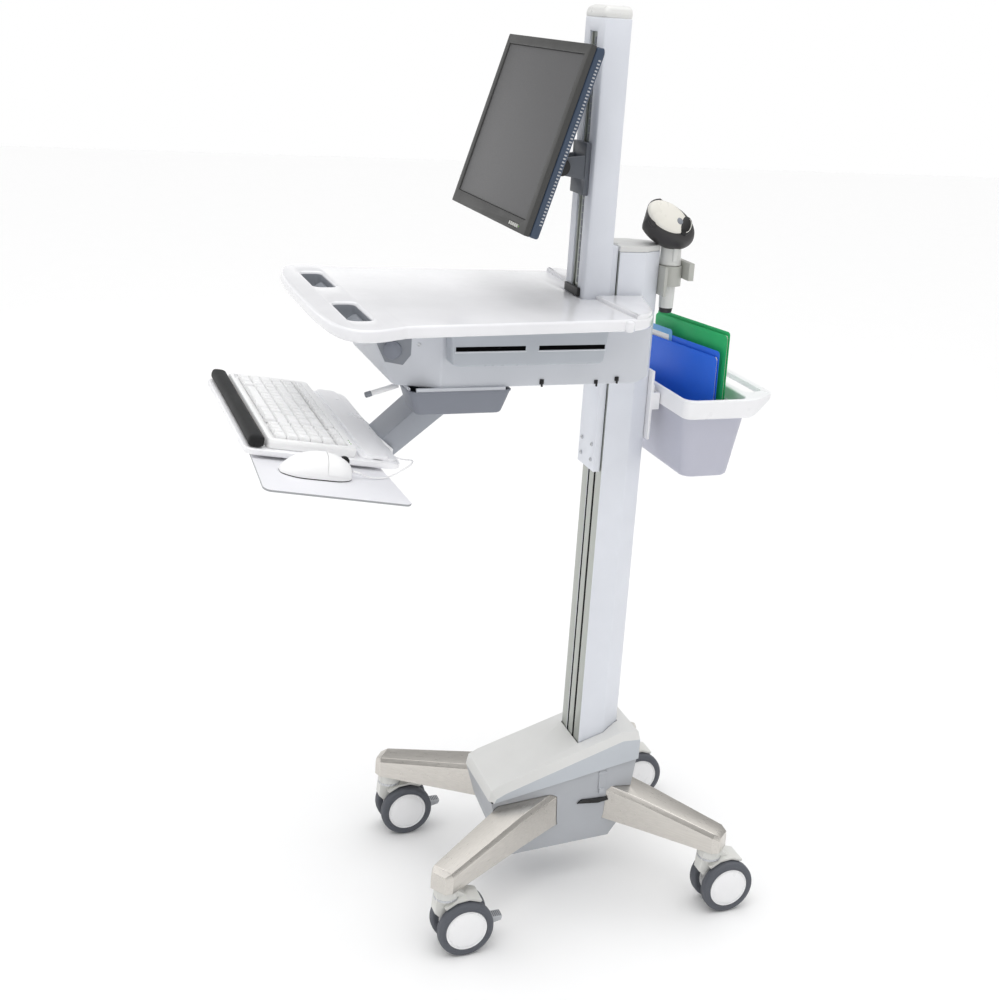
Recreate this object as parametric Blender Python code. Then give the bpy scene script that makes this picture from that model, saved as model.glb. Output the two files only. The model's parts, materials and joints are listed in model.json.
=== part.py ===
"""Medication cart: a height-adjustable worksurface with display, keyboard, scanner and bin on a caster base.

Metres, +Z up. The user stands at -Y, the user's right hand is +X. The cart is laid out around the lift
column (x = 0, y = 0) and is moved at the end so that the world origin is the bottom centre of its box.
"""

from math import atan2, cos, pi, radians, sin

import bmesh
import bpy
from mathutils import Matrix, Vector

GAP = 0.0005                        # clearance between two pieces that touch in real life

# Floor and casters
WHEEL_RADIUS = 0.050
DISC_WIDTH = 0.019                  # one wheel disc of a twin-wheel caster
DISC_OFFSET = 0.0225                # from the caster's middle plane to a disc's middle plane
CAP_PROUD = 0.0035                  # how far a hub cap stands out of its tyre
HUB_RADIUS = 0.0365
TRAIL = 0.031                       # the wheel axle sits this far behind the swivel axis
STEM_RADIUS = 0.006
STEMS = {
    "front_left": (-0.192, -0.337),
    "front_right": (0.192, -0.337),
    "rear_left": (-0.199, 0.166),
    "rear_right": (0.199, 0.166),
}
ARM_TIP_LOW, ARM_TIP_TOP = 0.1235, 0.1600
ARM_ROOT_LOW, ARM_ROOT_TOP = 0.1300, 0.2020

# Base housing
COVER_HALF = 0.079
COVER_FRONT, COVER_REAR = -0.224, 0.064
COVER_TOP_FRONT, COVER_TOP_REAR = 0.224, 0.303
TUB_LOW = 0.074
SHELL = 0.0035

# Lift column, with the display column running in front of it
COLUMN_HALF, COLUMN_FRONT, COLUMN_REAR = 0.042, -0.045, 0.040
COLUMN_LOW, COLUMN_TOP = 0.2050, 1.1960
TRACKS = (-0.0135, 0.0135)          # the two guide tracks in the column's front face
TRACK_WIDTH, TRACK_DEPTH = 0.0062, 0.0075
CARRIAGE_LOW, CARRIAGE_TOP = 0.805, 1.2050
DISPLAY_HALF, DISPLAY_FRONT, DISPLAY_REAR = 0.044, -0.107, -0.0595
DISPLAY_LOW, DISPLAY_TOP = 1.030, 1.5740

# Worksurface
DESK_LOW, DESK_TOP = 1.0980, 1.1175
NOTCH_HALF = 0.0466
BODY_LOW, BODY_HALF = 1.000, 0.158

# Monitor
MONITOR_W, MONITOR_H, MONITOR_T = 0.371, 0.302, 0.026
MONITOR_AT = (0.0, -0.230, 1.391)   # middle of the front face
MONITOR_TILT = radians(17.0)
TILT_PIVOT = (0.0, -0.158, 1.334)

# Keyboard tray
TRAY_HALF, TRAY_DEPTH, TRAY_SLOPE = 0.200, 0.243, radians(9.0)
TRAY_FRONT = (0.0, -0.692, 0.930)   # middle of the top front edge
ARM_REAR_PIVOT = (0.0, -0.330, 0.958)
ARM_FRONT_PIVOT = (0.0, -0.440, 0.864)

# Bin and scanner, both behind the column
BIN_RIM_Z, BIN_FLOOR_Z = 0.957, 0.812
SCANNER_X, SCANNER_Y = 0.012, 0.0640


# Helpers -----------------------------------------------------------------------------------------

def clear_scene():
    for obj in list(bpy.data.objects):
        bpy.data.objects.remove(obj, do_unlink=True)


def make_collection(name, hidden=False):
    found = bpy.data.collections.new(name)
    bpy.context.scene.collection.children.link(found)
    found.hide_render = hidden
    return found


def material(name, color, roughness=0.5, metallic=0.0):
    found = bpy.data.materials.get(name)
    if found:
        return found
    made = bpy.data.materials.new(name)
    made.use_nodes = True
    shader = made.node_tree.nodes["Principled BSDF"]
    shader.inputs["Base Color"].default_value = (*color, 1.0)
    shader.inputs["Roughness"].default_value = roughness
    shader.inputs["Metallic"].default_value = metallic
    return made


def mesh_object(name, verts, faces, finish, cutter=False):
    mesh = bpy.data.meshes.new(name)
    mesh.from_pydata([tuple(v) for v in verts], [], faces)
    bm = bmesh.new()
    bm.from_mesh(mesh)
    bmesh.ops.recalc_face_normals(bm, faces=bm.faces)
    bm.to_mesh(mesh)
    bm.free()
    obj = bpy.data.objects.new(name, mesh)
    (CUTTERS if cutter else CART).objects.link(obj)
    if cutter:
        obj.hide_render = True
        obj.display_type = "WIRE"
    if finish:
        mesh.materials.append(finish)
    return obj


def loft(name, rings, finish=None, cutter=False):
    """A closed solid through rings of equal length, capped at both ends."""
    count = len(rings[0])
    verts = [point for ring in rings for point in ring]
    faces = [
        (a * count + i, a * count + (i + 1) % count, (a + 1) * count + (i + 1) % count, (a + 1) * count + i)
        for a in range(len(rings) - 1)
        for i in range(count)
    ]
    faces.append(tuple(range(count)))
    faces.append(tuple((len(rings) - 1) * count + i for i in range(count)))
    return mesh_object(name, verts, faces, finish, cutter)


def block(name, low, high, finish=None, cutter=False):
    rings = [
        [(low[0], low[1], z), (high[0], low[1], z), (high[0], high[1], z), (low[0], high[1], z)]
        for z in (low[2], high[2])
    ]
    return loft(name, rings, finish, cutter)


def prism_z(name, outline, low, high, finish=None, cutter=False):
    return loft(name, [[(x, y, z) for x, y in outline] for z in (low, high)], finish, cutter)


def prism_x(name, outline, low, high, finish=None, cutter=False):
    """An outline of (y, z) points, extruded along X."""
    return loft(name, [[(x, y, z) for y, z in outline] for x in (low, high)], finish, cutter)


def circle(centre, radius, axis="X", count=16, start=0.0):
    x, y, z = centre
    points = []
    for i in range(count):
        a, b = radius * cos(start + 2 * pi * i / count), radius * sin(start + 2 * pi * i / count)
        points.append({"X": (x, y + a, z + b), "Y": (x + a, y, z + b), "Z": (x + a, y + b, z)}[axis])
    return points


def rod(name, centre, radius, low, high, axis="X", count=16, finish=None, cutter=False):
    rings = []
    for along in (low, high):
        x, y, z = centre
        rings.append(circle({"X": (along, y, z), "Y": (x, along, z), "Z": (x, y, along)}[axis],
                            radius, axis, count))
    return loft(name, rings, finish, cutter)


def turned_x(name, centre, profile, count, finish=None, cutter=False):
    """A solid of revolution about X; the profile is a list of (x, radius) from end to end."""
    rings = [circle((centre[0] + x, centre[1], centre[2]), r, "X", count) for x, r in profile]
    return loft(name, rings, finish, cutter)


def ring_x(name, centre, profile, count, finish):
    """A closed ring about X; the profile is a closed loop of (x, radius)."""
    rings = []
    for i in range(count):
        angle = 2 * pi * i / count
        rings.append([(centre[0] + x, centre[1] + r * cos(angle), centre[2] + r * sin(angle))
                      for x, r in profile])
    size = len(profile)
    verts = [point for ring in rings for point in ring]
    faces = [
        (a * size + i, a * size + (i + 1) % size, ((a + 1) % count) * size + (i + 1) % size,
         ((a + 1) % count) * size + i)
        for a in range(count)
        for i in range(size)
    ]
    return mesh_object(name, verts, faces, finish)


def boolean(target, other, operation):
    """The cutter goes to the hidden collection, where the modifier reads it."""
    modifier = target.modifiers.new(f"{operation.title()} {other.name}", "BOOLEAN")
    modifier.operation = operation
    modifier.solver = "EXACT"
    modifier.object = other
    return target


def cut(target, other):
    return boolean(target, other, "DIFFERENCE")


def join(target, other):
    return boolean(target, other, "UNION")


def rounded(half_x, half_y, radius, steps=3, centre=(0.0, 0.0)):
    points = []
    for sx, sy, first in ((1, 1, 0), (-1, 1, 1), (-1, -1, 2), (1, -1, 3)):
        for i in range(steps + 1):
            angle = pi / 2 * (first + i / steps)
            points.append((centre[0] + sx * (half_x - radius) + radius * cos(angle),
                           centre[1] + sy * (half_y - radius) + radius * sin(angle)))
    return points


def mirrored(half):
    """A closed outline from its +X half, listed from front to rear."""
    return half + [(-x, y) for x, y in reversed(half)]


def turn_about_x(obj, pivot, angle):
    turn = Matrix.Translation(pivot) @ Matrix.Rotation(angle, 4, "X") @ Matrix.Translation(-Vector(pivot))
    obj.data.transform(turn)
    return obj


def put_origin(obj, point):
    """Moves the object's origin to a point, such as its joint's axis, and leaves its shape in place."""
    obj.data.transform(Matrix.Translation(-Vector(point)))
    obj.location = point


# Base and casters --------------------------------------------------------------------------------

def arm_rings(stem, grow=0.0, inner=0.0):
    """Sections of one base arm, from the hub out to just past its caster stem."""
    sx, sy = (1 if stem[0] > 0 else -1), (1 if stem[1] > 0 else -1)
    root = Vector((sx * 0.014, -0.070 if sy < 0 else 0.003, 0.0))
    tip = Vector((stem[0], stem[1], 0.0))
    along = (tip - root).normalized()
    side = Vector((-along.y, along.x, 0.0))
    reach = (tip - root).length
    sections = (
        (inner, 0.040, ARM_ROOT_LOW, ARM_ROOT_TOP),
        (reach * 0.45, 0.031, 0.1270, 0.1880),
        (reach + 0.012, 0.0235, ARM_TIP_LOW, ARM_TIP_TOP + 0.002),
        (reach + 0.024, 0.0160, ARM_TIP_LOW + 0.001, ARM_TIP_TOP - 0.004),
    )
    rings = []
    for distance, half, low, top in sections:
        middle = root + along * distance
        ring = []
        for s, z in ((-1, low - grow), (1, low - grow), (1, top - 0.008 + grow), (0.82, top + grow),
                     (-0.82, top + grow), (-1, top - 0.008 + grow)):
            point = middle + side * s * (half + grow)
            ring.append((point.x, point.y, z))
        rings.append(ring)
    return rings


def build_base():
    polished = material("polished_aluminium", (0.60, 0.57, 0.53), 0.32, 0.85)
    shell = material("cover_plastic", (0.72, 0.73, 0.70), 0.45)
    grey = material("tub_plastic", (0.45, 0.47, 0.50), 0.5)

    hub = block("base_frame", (-0.052, -0.150, 0.1275), (0.052, 0.050, 0.2043), polished)
    for place, stem in STEMS.items():
        join(hub, loft(f"arm_{place}", arm_rings(stem), cutter=True))
        cut(hub, rod(f"stem_bore_{place}", (*stem, 0), STEM_RADIUS + GAP, 0.10, 0.1480, "Z", cutter=True))

    slope = (COVER_TOP_REAR - COVER_TOP_FRONT) / (0.035 - (COVER_FRONT + 0.018))

    def line(y, drop):
        return COVER_TOP_FRONT + slope * (y - COVER_FRONT - 0.018) - drop

    # The cover is a sloping shell, open below, and the column rises through it.
    def cover_ring(x, inset):
        return [
            (x, COVER_FRONT + inset, line(COVER_FRONT, 0.022)),
            (x, COVER_FRONT + 0.004 + inset, line(COVER_FRONT, 0.002 + inset)),
            (x, COVER_FRONT + 0.022 + inset, line(COVER_FRONT + 0.022, inset)),
            (x, 0.030, line(0.030, inset)),
            (x, COVER_REAR - inset, line(0.040, inset + 0.004)),
            (x, COVER_REAR - inset, line(0.010, 0.045)),
        ]

    def cover_solid(name, inset, finish=None, cutter=False, extend=0.0):
        widths = ((-1, 0.012), (-0.86, 0.0), (0.86, 0.0), (1, 0.012))
        rings = []
        for s, drop in widths:
            ring = cover_ring(s * (COVER_HALF - inset), inset)
            shaped = []
            for index, (x, y, z) in enumerate(ring):
                lower = z - (drop if 0 < index < 5 else 0) - (extend if index in (0, 5) else 0)
                shaped.append((x, y + (drop * 0.6 if index < 3 else 0), lower))
            rings.append(shaped)
        return loft(name, rings, finish, cutter)

    cover = cover_solid("base_cover", 0.0, shell)
    cut(cover, cover_solid("cover_hollow", SHELL, cutter=True, extend=0.04))
    cut(cover, prism_z("cover_column_hole", column_outline(0.0012), 0.1, 0.4, cutter=True))

    # The tub hangs below the cover's lower edge; the arms pass through its walls.
    def tub_rings(inset, floor, lift):
        top = [(COVER_FRONT + 0.003, line(COVER_FRONT, 0.0235)), (COVER_REAR - 0.003, line(0.010, 0.0470))]
        low = [(-0.178, floor), (0.022, floor + 0.012)]
        half_top, half_low = COVER_HALF - 0.003, COVER_HALF - 0.016

        def ring(front, rear, half, rise):
            return [(-half + inset, front[0] + inset, front[1] + rise), (half - inset, front[0] + inset, front[1] + rise),
                    (half - inset, rear[0] - inset, rear[1] + rise), (-half + inset, rear[0] - inset, rear[1] + rise)]

        return [ring(low[0], low[1], half_low, 0.0), ring((-0.205, 0.135), (0.050, 0.140), half_top - 0.004, 0.0),
                ring(top[0], top[1], half_top, lift)]

    tub = loft("base_tub", tub_rings(0.0, TUB_LOW, 0.0), grey)
    cut(tub, loft("tub_hollow", tub_rings(SHELL, TUB_LOW + SHELL, 0.002), cutter=True))
    cut(tub, block("tub_hub_room", (-0.056, -0.154, 0.125), (0.056, 0.0535, 0.30), cutter=True))
    for place, stem in STEMS.items():
        cut(tub, loft(f"tub_arm_hole_{place}", arm_rings(stem, 0.0008), cutter=True))


def build_caster(place, stem, pedal):
    """A twin-wheel caster; its stem turns in the arm's tip and both discs turn on one axle."""
    tyre_grey = material("tyre_rubber", (0.10, 0.11, 0.13), 0.6)
    white = material("hub_plastic", (0.87, 0.87, 0.88), 0.35)
    housing_grey = material("caster_plastic", (0.70, 0.70, 0.69), 0.42)
    x, y = stem
    axle = (x, y + TRAIL, WHEEL_RADIUS)

    web = [(axle[1] + 0.017 * cos(a), axle[2] + 0.017 * sin(a)) for a in
           [radians(d) for d in (-150, -110, -70, -30, 10, 50)]]
    web += [(axle[1] + 0.012, 0.0985), (y + 0.019, 0.1175), (y - 0.019, 0.1175), (y - 0.022, 0.080)]
    housing = prism_x(f"caster_{place}_housing", web, x - 0.0112, x + 0.0112, housing_grey)
    join(housing, rod(f"caster_{place}_barrel", (x, y, 0), 0.0215, 0.1030, 0.1222, "Z", 20, cutter=True))
    join(housing, rod(f"caster_{place}_stem", (x, y, 0), STEM_RADIUS, 0.1150, 0.1450, "Z", 16, cutter=True))
    hood = [(axle[1] + 0.0565 * cos(a), axle[2] + 0.0565 * sin(a)) for a in
            [radians(d) for d in (60, 84, 108, 132)]]
    hood += [(axle[1] + 0.0525 * cos(a), axle[2] + 0.0525 * sin(a)) for a in
             [radians(d) for d in (132, 108, 84, 60)]]
    join(housing, prism_x(f"caster_{place}_hood", hood, x - 0.0215, x + 0.0215, cutter=True))
    cut(housing, rod(f"caster_{place}_axle_bore", axle, 0.0068, x - 0.05, x + 0.05, cutter=True))
    put_origin(housing, (x, y, 0.1222))

    wheel_in, wheel_out = DISC_OFFSET - DISC_WIDTH / 2, DISC_OFFSET + DISC_WIDTH / 2
    half = [(0.0, 0.0062), (wheel_in, 0.0062), (wheel_in, HUB_RADIUS), (wheel_out, HUB_RADIUS),
            (wheel_out + CAP_PROUD, HUB_RADIUS - 0.006)]
    profile = [(-a, r) for a, r in reversed(half[1:])] + half[1:]
    wheel = turned_x(f"caster_{place}_wheels", axle, profile, 20, white)
    put_origin(wheel, axle)
    for side, sign in (("left", -1), ("right", 1)):
        inner, outer = HUB_RADIUS + 0.0006, WHEEL_RADIUS
        section = [(-DISC_WIDTH / 2, inner), (DISC_WIDTH / 2, inner), (DISC_WIDTH / 2, outer - 0.006),
                   (DISC_WIDTH / 2 - 0.005, outer), (-DISC_WIDTH / 2 + 0.005, outer),
                   (-DISC_WIDTH / 2, outer - 0.006)]
        centre = (x + sign * DISC_OFFSET, axle[1], axle[2])
        put_origin(ring_x(f"caster_{place}_tyre_{side}", centre, section, 24, tyre_grey), axle)

    if pedal:
        # The brake pedal hangs behind the web on its own pin, between the discs and the floor.
        pin = (axle[1] + 0.030, 0.0560)
        outline = [(pin[0] - 0.006, pin[1] - 0.005), (pin[0] + 0.022, pin[1] - 0.016),
                   (pin[0] + 0.040, pin[1] - 0.012), (pin[0] + 0.042, pin[1] - 0.004),
                   (pin[0] + 0.024, pin[1] - 0.004), (pin[0] + 0.006, pin[1] + 0.008),
                   (pin[0] - 0.006, pin[1] + 0.006)]
        lever = prism_x(f"caster_{place}_brake_pedal", outline, x - 0.0105, x + 0.0105, housing_grey)
        put_origin(lever, (x, *pin))


# Column, carriage and display --------------------------------------------------------------------

def column_outline(grow=0.0):
    half, front, rear = COLUMN_HALF + grow, COLUMN_FRONT - grow, COLUMN_REAR + grow
    return mirrored([(half, front), (half, 0.003), (0.027 + grow, 0.031), (0.020 + grow, rear)])


def build_column():
    painted = material("column_paint", (0.68, 0.70, 0.78), 0.4, 0.1)
    plastic = material("cover_plastic", (0.72, 0.73, 0.70), 0.45)
    column = prism_z("lift_column", column_outline(), COLUMN_LOW, COLUMN_TOP, painted)
    inner = mirrored([(COLUMN_HALF - 0.004, COLUMN_FRONT + 0.014), (COLUMN_HALF - 0.004, 0.001),
                      (0.025, 0.027), (0.018, COLUMN_REAR - 0.004)])
    cut(column, prism_z("column_hollow", inner, COLUMN_LOW - 0.01, COLUMN_TOP + 0.01, cutter=True))
    for side, x in zip(("left", "right"), TRACKS):
        cut(column, block(f"track_{side}", (x - TRACK_WIDTH / 2, COLUMN_FRONT - 0.01, COLUMN_LOW + 0.02),
                          (x + TRACK_WIDTH / 2, COLUMN_FRONT + TRACK_DEPTH, COLUMN_TOP + 0.01), cutter=True))
    cap_low = COLUMN_TOP + GAP
    cap = prism_z("lift_column_cap", column_outline(), cap_low, cap_low + 0.010, plastic)
    for side, x in zip(("left", "right"), TRACKS):
        cut(cap, block(f"cap_track_{side}", (x - TRACK_WIDTH / 2, COLUMN_FRONT - 0.01, cap_low - 0.01),
                       (x + TRACK_WIDTH / 2, COLUMN_FRONT + TRACK_DEPTH, cap_low + 0.03), cutter=True))


def build_carriage():
    """The plate that runs up the column's front on two keys, and the display column bolted to it."""
    alu = material("track_aluminium", (0.47, 0.49, 0.50), 0.4, 0.6)
    painted = material("column_paint", (0.68, 0.70, 0.78), 0.4, 0.1)
    plastic = material("cover_plastic", (0.72, 0.73, 0.70), 0.45)
    plate_front, plate_rear = DISPLAY_REAR + GAP, COLUMN_FRONT - 0.0010
    carriage = block("carriage_plate", (-0.036, plate_front, CARRIAGE_LOW), (0.036, plate_rear, CARRIAGE_TOP), alu)
    for side, x in zip(("left", "right"), TRACKS):
        join(carriage, block(f"key_{side}", (x - 0.0024, plate_rear - 0.003, CARRIAGE_LOW + 0.01),
                             (x + 0.0024, plate_rear + 0.0055, 1.150), cutter=True))

    radius = 0.007
    outline = mirrored([(DISPLAY_HALF - radius, DISPLAY_FRONT), (DISPLAY_HALF - 0.002, DISPLAY_FRONT + 0.002),
                        (DISPLAY_HALF, DISPLAY_FRONT + radius), (DISPLAY_HALF, DISPLAY_REAR)])
    column = prism_z("display_column", outline, DISPLAY_LOW, DISPLAY_TOP, painted)
    cut(column, block("display_track_groove", (-0.0150, DISPLAY_FRONT - 0.01, 1.128),
                      (0.0150, DISPLAY_FRONT + 0.0052, DISPLAY_TOP - 0.022), cutter=True))
    inner = mirrored([(DISPLAY_HALF - 0.004, DISPLAY_FRONT + 0.011), (DISPLAY_HALF - 0.004, DISPLAY_REAR - 0.004)])
    cut(column, prism_z("display_column_hollow", inner, DISPLAY_LOW - 0.01, DISPLAY_TOP + 0.01, cutter=True))
    low = DISPLAY_TOP + GAP
    crown = [[(x * s, DISPLAY_REAR + (y - DISPLAY_REAR) * t, z) for x, y in outline]
             for s, t, z in ((1, 1, low), (1, 1, low + 0.008), (0.93, 0.95, low + 0.015), (0.70, 0.80, low + 0.0195))]
    loft("display_column_cap", crown, plastic)


def build_display():
    dark = material("bracket_grey", (0.16, 0.17, 0.19), 0.5)
    shell = material("monitor_shell", (0.05, 0.07, 0.10), 0.5)
    frame = material("monitor_bezel", (0.11, 0.11, 0.10), 0.5)
    glass = material("screen_glass", (0.16, 0.16, 0.16), 0.25)
    front = DISPLAY_FRONT

    # The bracket clamps on the display column's front track and carries two ears.
    z = TILT_PIVOT[2]
    bracket = block("display_bracket", (-0.030, front - 0.0090, z - 0.046), (0.030, front - 0.0006, z + 0.040), dark)
    join(bracket, block("bracket_key", (-0.0128, front - 0.003, z - 0.040), (0.0128, front + 0.0040, z + 0.034),
                        cutter=True))
    for sign in (-1, 1):
        ear = [(front - 0.006, z - 0.020), (TILT_PIVOT[1] - 0.010, z - 0.012), (TILT_PIVOT[1] - 0.013, z),
               (TILT_PIVOT[1] - 0.010, z + 0.012), (front - 0.006, z + 0.020)]
        join(bracket, prism_x(f"ear_{sign}", ear, min(sign * 0.021, sign * 0.028), max(sign * 0.021, sign * 0.028),
                              cutter=True))

    # The tilt head's barrel sits between the ears; its plate is screwed to the monitor's back.
    up = Vector((0, sin(MONITOR_TILT), cos(MONITOR_TILT)))
    back = Vector((0, cos(MONITOR_TILT), -sin(MONITOR_TILT)))
    face = Vector(MONITOR_AT)

    def at(x, along, depth):
        point = face + up * along + back * depth
        return (x, point.y, point.z)

    def tilted_box(name, half_x, low, high, near, far, finish=None, cutter=False, scale=1.0):
        rings = []
        for depth, s in ((near, 1.0), (far, scale)):
            middle = (low + high) / 2
            reach = (high - low) / 2 * s
            rings.append([at(-half_x * s, middle - reach, depth), at(half_x * s, middle - reach, depth),
                          at(half_x * s, middle + reach, depth), at(-half_x * s, middle + reach, depth)])
        return loft(name, rings, finish, cutter)

    head = rod("display_tilt_head", TILT_PIVOT, 0.0110, -0.0200, 0.0200, "X", 16, dark)
    deep = MONITOR_T + 0.0180
    join(head, tilted_box("vesa_plate", 0.050, -0.092, 0.008, deep + GAP, deep + 0.0045, cutter=True))
    pivot = Vector(TILT_PIVOT)
    neck_low = (face + back * (deep + 0.002) + up * -0.052)
    neck_top = (face + back * (deep + 0.002) + up * -0.030)
    side = [(neck_low.y, neck_low.z), (neck_top.y, neck_top.z), (pivot.y, pivot.z + 0.009),
            (pivot.y + 0.003, pivot.z - 0.009)]
    join(head, prism_x("head_neck", side, -0.0190, 0.0190, cutter=True))
    put_origin(head, TILT_PIVOT)

    half_w, half_h = MONITOR_W / 2, MONITOR_H / 2
    rear = tilted_box("monitor_shell", half_w, -half_h, half_h, 0.0100, MONITOR_T, shell)
    join(rear, tilted_box("monitor_bulge", 0.130, -0.115, 0.105, MONITOR_T - 0.004, deep, scale=0.86, cutter=True))
    bezel = tilted_box("monitor_bezel", half_w, -half_h, half_h, 0.0, 0.0100 - GAP, frame)
    cut(bezel, tilted_box("screen_room", half_w - 0.016, -half_h + 0.022, half_h - 0.016, -0.01, 0.02, cutter=True))
    cut(bezel, tilted_box("button_room", 0.0202, -half_h + 0.0056, -half_h + 0.0124, -0.01, 0.006, cutter=True))
    screen = tilted_box("monitor_screen", half_w - 0.0166, -half_h + 0.0226, half_h - 0.0166, 0.0022, 0.0090, glass)
    buttons = tilted_box("monitor_buttons", 0.0195, -half_h + 0.0063, -half_h + 0.0117, -0.0012, 0.0042, frame)
    shift = Matrix.Translation((half_w - 0.056, 0, 0))
    for obj in (bpy.data.objects["button_room"], buttons):
        obj.data.transform(shift)
    for obj in (rear, bezel, screen, buttons):
        put_origin(obj, TILT_PIVOT)


# Worksurface -------------------------------------------------------------------------------------

def desk_half():
    """The +X half of the worksurface's edge, from the front round to the column's notch."""
    return [(0.0, -0.5780), (0.120, -0.5780), (0.190, -0.5740), (0.232, -0.5620), (0.255, -0.5430),
            (0.2600, -0.5200), (0.2500, -0.4950), (0.2330, -0.4700), (0.2270, -0.4400), (0.2070, -0.1000),
            (0.1980, -0.0600), (0.1780, -0.0400), (0.1500, -0.0270), (0.0700, -0.0050), (NOTCH_HALF + 0.004, 0.0040)]


def notch(name, low, high):
    """Room for both columns, open at the rear."""
    return block(name, (-NOTCH_HALF, DISPLAY_FRONT - 0.0012, low), (NOTCH_HALF, 0.08, high), cutter=True)


def build_desk():
    gloss = material("gloss_white", (0.88, 0.88, 0.90), 0.18)
    matte = material("underbody_plastic", (0.72, 0.73, 0.76), 0.5)
    grey = material("lever_plastic", (0.33, 0.35, 0.38), 0.5)

    half = desk_half()
    outline = half[1:] + [(-x, y) for x, y in reversed(half[1:])]
    low = [(x * 0.985, y * 0.988 - 0.002) for x, y in outline]
    top = loft("desk_top", [[(x, y, DESK_LOW) for x, y in low], [(x, y, DESK_LOW + 0.006) for x, y in outline],
                            [(x, y, DESK_TOP - 0.003) for x, y in outline],
                            [(x * 0.990, y * 0.992 - 0.001, DESK_TOP) for x, y in outline]], gloss)
    cut(top, notch("desk_notch", 1.0, 1.2))
    for sign, side in ((-1, "left"), (1, "right")):
        grip = rounded(0.066, 0.0185, 0.012, 3, (sign * 0.124, -0.5210))
        cut(top, prism_z(f"grip_hole_{side}", grip, DESK_LOW - 0.02, DESK_TOP + 0.02, cutter=True))
        # The release lever hinges along the grip's rear wall and is squeezed up towards it.
        x0, x1 = sorted((sign * 0.082, sign * 0.166))
        lever = prism_x(f"grip_lever_{side}", [(-0.5210, 1.0900), (-0.5036, 1.0900), (-0.5036, 1.1030),
                                               (-0.5085, 1.1030), (-0.5210, 1.0950)], x0, x1, grey)
        put_origin(lever, (0.0, -0.5050, 1.0915))

    side_profile = [(-0.4960, DESK_LOW - GAP), (-0.4560, 1.0030), (-0.4480, BODY_LOW), (-0.050, BODY_LOW),
                    (-0.0300, 1.0120), (-0.0300, DESK_LOW - GAP)]
    body = prism_x("desk_underbody", side_profile, -BODY_HALF, BODY_HALF, matte)
    cut(body, notch("underbody_notch", 0.9, 1.2))
    wall_x, wall_y = NOTCH_HALF + 0.0040, DISPLAY_FRONT - 0.0052
    room = mirrored([(0.1160, -0.4480), (0.1520, -0.3760), (0.1520, -0.0360), (wall_x, -0.0360), (wall_x, wall_y)])
    cut(body, prism_z("underbody_hollow", room, BODY_LOW + 0.0040, 1.2, cutter=True))
    for sign, side in ((-1, "left"), (1, "right")):
        wedge = prism_z(f"underbody_taper_{side}", [(sign * 0.085, -0.55), (sign * 0.20, -0.55),
                                                   (sign * 0.20, -0.38), (sign * BODY_HALF, -0.385)],
                        0.95, 1.2, cutter=True)
        cut(body, wedge)
        x0, x1 = sorted((sign * (BODY_HALF + GAP), sign * 0.1920))
        pod = [(-0.3820, DESK_LOW - GAP), (-0.3780, 1.0460), (-0.3700, 1.0430), (-0.1320, 1.0430),
               (-0.1260, 1.0480), (-0.1200, DESK_LOW - GAP)]
        prism_x(f"side_pod_{side}", pod, x0, x1, matte)

    # The white rod by the right-hand front corner frees the keyboard arm when it is squeezed.
    rail = rod("arm_release_rod", (0.105, 0, 0), 0.0042, -0.4900, -0.4380, "Y", 10,
               material("hub_plastic", (0.87, 0.87, 0.88), 0.35))
    rail.data.transform(Matrix.Translation((0, 0, 0.9930)))
    turn_about_x(rail, (0.105, -0.4380, 0.9930), radians(16))
    put_origin(rail, (0.105, -0.4380, 0.9930))

    holder = prism_x("scanner_tray", [(-0.4340, 0.9990), (-0.4340, 0.9640), (-0.4260, 0.9570), (-0.2780, 0.9570),
                                      (-0.2680, 0.9640), (-0.2680, 0.9990), (-0.2712, 0.9990), (-0.2712, 0.9655),
                                      (-0.2793, 0.9602), (-0.4248, 0.9602), (-0.4308, 0.9655), (-0.4308, 0.9990)],
                     0.0900, 0.1620, material("holder_grey", (0.21, 0.23, 0.27), 0.5))
    join(holder, block("holder_wall", (0.0880, -0.4325, 0.9590), (0.0912, -0.2695, 0.9990), cutter=True))
    join(holder, block("holder_lip", (0.1590, -0.4325, 0.9585), (0.1620, -0.2695, 0.9700), cutter=True))


# Keyboard tray -----------------------------------------------------------------------------------

def tray_frame():
    """Origin at the tray's top front edge; x across, u rearward along the slope, w up off the tray."""
    rear = Vector((0, cos(TRAY_SLOPE), -sin(TRAY_SLOPE)))
    up = Vector((0, sin(TRAY_SLOPE), cos(TRAY_SLOPE)))
    return Matrix((
        (1, rear.x, up.x, TRAY_FRONT[0]),
        (0, rear.y, up.y, TRAY_FRONT[1]),
        (0, rear.z, up.z, TRAY_FRONT[2]),
        (0, 0, 0, 1),
    ))


def on_tray(obj, origin):
    """Takes a piece and its cutters from tray coordinates to the cart's."""
    for shape in (obj, *(modifier.object for modifier in obj.modifiers)):
        shape.data.transform(tray_frame())
    put_origin(obj, origin)
    return obj


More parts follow.
